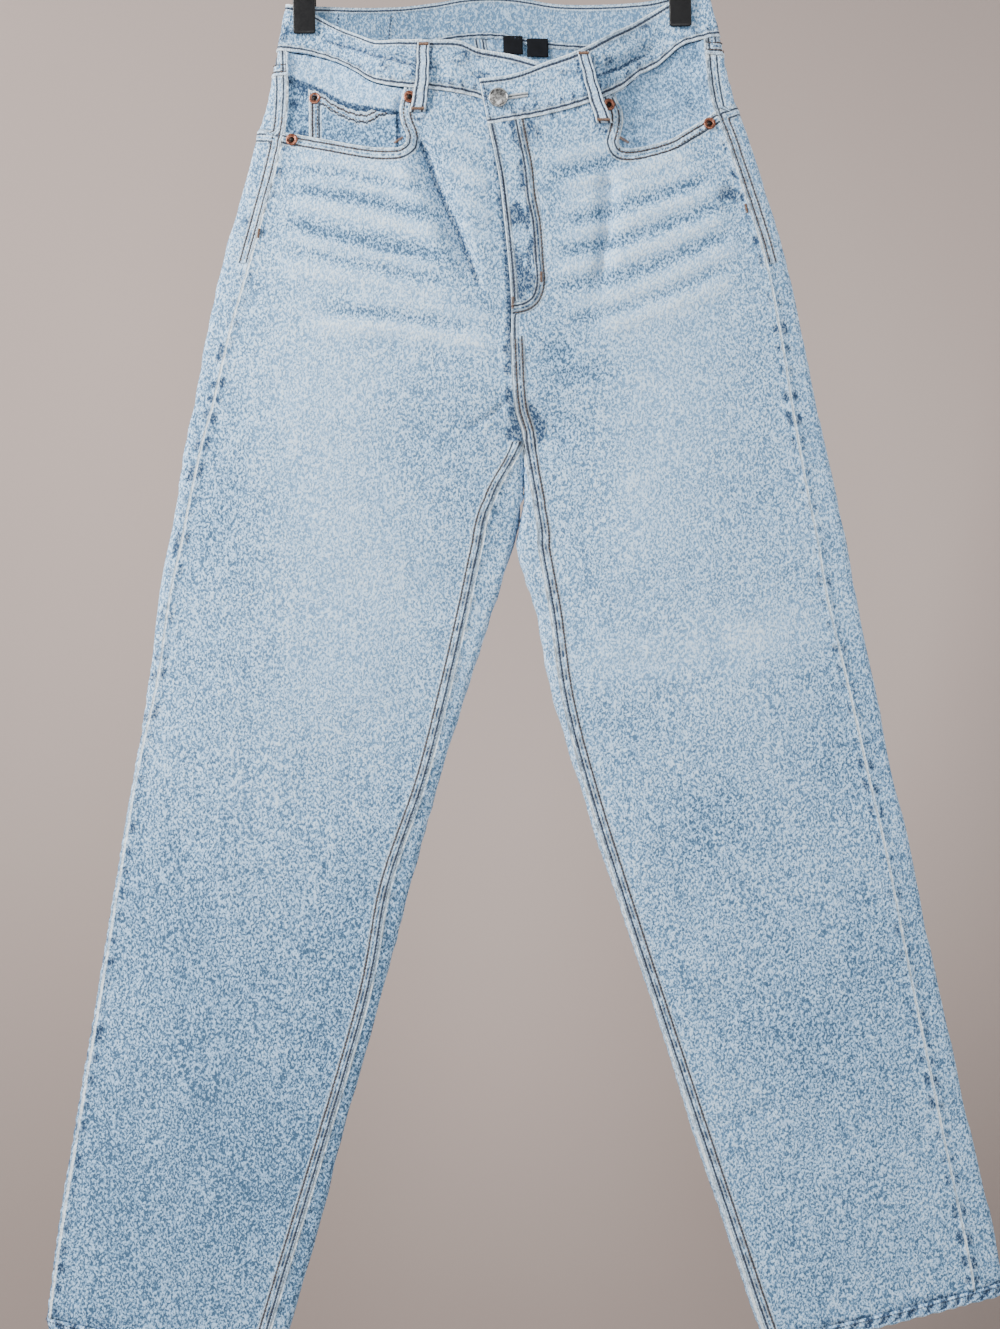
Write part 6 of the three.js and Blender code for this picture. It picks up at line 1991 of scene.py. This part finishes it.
hole = np.stack([np.column_stack([hole_x, hole_y, hole_z + edge]) for edge in (0.45, -0.45)])
# the slit is a dark sheet of painted shade in the buttonhole's opening
slit_shade = thread("shadowed buttonhole", (0.03, 0.045, 0.075), (0.012, 0.018, 0.03))
hole_normals = np.zeros_like(hole)
hole_normals[..., 1] = -1
shell("buttonhole_slit", hole, hole_normals, 0.5, slit_shade)

total = 0
for group in sorted(rows_of_stitches):
    piece, count = stitch_object(group)
    total += count
print("stitches:", total)

# %% [markdown]
# ## Wall and floor
# A taupe wall stands 600 mm behind the garment, painted a little lighter behind it as a pool of light
# and darker far from it, and a floor below it carries on out of the picture. Both are seen from the
# front only, so that the garment can also be looked at from behind.
# They could be one bent sheet. Two flat ones are simpler, and the floor is outside the picture.

# %% Stage
# where the painted pool of light on the wall is brightest, and how far it reaches
PAINTED_LIGHT_AT = (0.13, -0.66)
PAINTED_LIGHT_REACH = 1.1


def backdrop_material(name, colour, low_colour):
    """Matt paint with a painted pool of light: a little lighter behind the middle of the garment and darker
    far from it.
    """
    material, tree, shader = new_material(name)
    place = placed(tree)
    split = tree.nodes.new("ShaderNodeSeparateXYZ")
    tree.links.new(place, split.inputs["Vector"])
    away = [math_node(tree, "ABSOLUTE", math_node(tree, "SUBTRACT", split.outputs[axis], at))
            for axis, at in zip("XZ", PAINTED_LIGHT_AT)]
    squared = [math_node(tree, "MULTIPLY", value, value) for value in away]
    distance = math_node(tree, "SQRT", math_node(tree, "ADD", *squared))
    painted_falloff = remap(tree, distance, 0.05, PAINTED_LIGHT_REACH, 1.0, 0.62)
    cloudy = noise(tree, place, 1.6, 3.0, 0.55)
    grain = noise(tree, place, 260, 2.0, 0.6)
    specks = math_node(tree, "MULTIPLY", math_node(tree, "SUBTRACT", grain, 0.5), 0.3)
    blend = math_node(tree, "ADD", cloudy, specks)
    paint = blend_colour(tree, blend, low_colour, colour)
    tree.links.new(blend_colour(tree, painted_falloff, (0, 0, 0), paint), shader.inputs["Base Color"])
    shader.inputs["Roughness"].default_value = 0.95
    shader.inputs["Specular IOR Level"].default_value = 0.1
    geometry = tree.nodes.new("ShaderNodeNewGeometry")
    clear = tree.nodes.new("ShaderNodeBsdfTransparent")
    both = tree.nodes.new("ShaderNodeMixShader")
    output = tree.nodes["Material Output"]
    tree.links.new(geometry.outputs["Backfacing"], both.inputs[0])
    tree.links.new(shader.outputs["BSDF"], both.inputs[1])
    tree.links.new(clear.outputs["BSDF"], both.inputs[2])
    tree.links.new(both.outputs["Shader"], output.inputs["Surface"])
    return material


def sheet_of_stage(name, corners, material):
    mesh = bpy.data.meshes.new(name)
    mesh.from_pydata([tuple(value * MM for value in corner) for corner in corners], [], [(0, 1, 2, 3)])
    mesh.materials.append(material)
    piece = bpy.data.objects.new(name, mesh)
    bpy.context.collection.objects.link(piece)
    return piece


WALL_Y, WALL_TOP = 600, 1800
FLOOR_Z = -1480
STAGE_SIDE, FLOOR_FRONT = 3000, -3500
taupe = backdrop_material("taupe wall", (0.48, 0.395, 0.36), (0.44, 0.36, 0.328))
floor_taupe = backdrop_material("taupe floor", (0.42, 0.365, 0.33), (0.39, 0.335, 0.30))
wall = sheet_of_stage("wall", [
    (-STAGE_SIDE, WALL_Y, FLOOR_Z), (STAGE_SIDE, WALL_Y, FLOOR_Z),
    (STAGE_SIDE, WALL_Y, WALL_TOP), (-STAGE_SIDE, WALL_Y, WALL_TOP)], taupe)
floor = sheet_of_stage("floor", [
    (-STAGE_SIDE, FLOOR_FRONT, FLOOR_Z), (STAGE_SIDE, FLOOR_FRONT, FLOOR_Z),
    (STAGE_SIDE, WALL_Y, FLOOR_Z), (-STAGE_SIDE, WALL_Y, FLOOR_Z)], floor_taupe)

# %% [markdown]
# ## Light
# One strong small lamp stands high on the left. A weak one on the right and one in front fill its
# shadows, two weak ones behind light the back, and a pale sky fills the rest. A sky picture could do
# it all, but lamps are easier to aim and to balance.

# %% Light
def lamp(name, at, aim, size, watts, colour=(1, 1, 1)):
    data = bpy.data.lights.new(name, "AREA")
    data.shape = "RECTANGLE"
    data.size, data.size_y = size
    data.energy = watts
    data.color = colour
    made = bpy.data.objects.new(name, data)
    made.location = at
    made.rotation_euler = (Vector(aim) - Vector(at)).to_track_quat("-Z", "Y").to_euler()
    made.visible_camera = False
    bpy.context.collection.objects.link(made)
    return made


lamp("left lamp", (-1.85, -1.05, 0.5), (-0.05, 0, -0.6), (0.5, 0.5), 126, (1.0, 0.985, 0.965))
lamp("right lamp", (1.7, -1.8, 0.4), (0.05, 0, -0.6), (1.2, 1.2), 14, (0.985, 0.99, 1.0))
lamp("front lamp", (0.1, -2.2, -0.35), (0.0, 0, -0.6), (1.1, 1.1), 24)
lamp("back left lamp", (-1.6, 0.48, 0.2), (-0.1, 0, -0.6), (0.5, 0.5), 16)
lamp("back right lamp", (1.6, 0.48, 0.2), (0.1, 0, -0.6), (0.5, 0.5), 22)
SKY_COLOUR = (0.93, 0.96, 1.0, 1)
SKY_STRENGTH = 0.36
sky = bpy.data.worlds.new("pale sky")
sky.use_nodes = True
background = sky.node_tree.nodes["Background"]
background.inputs["Color"].default_value = SKY_COLOUR
background.inputs["Strength"].default_value = SKY_STRENGTH
bpy.context.scene.world = sky
print("lamps:", len(bpy.data.lights))
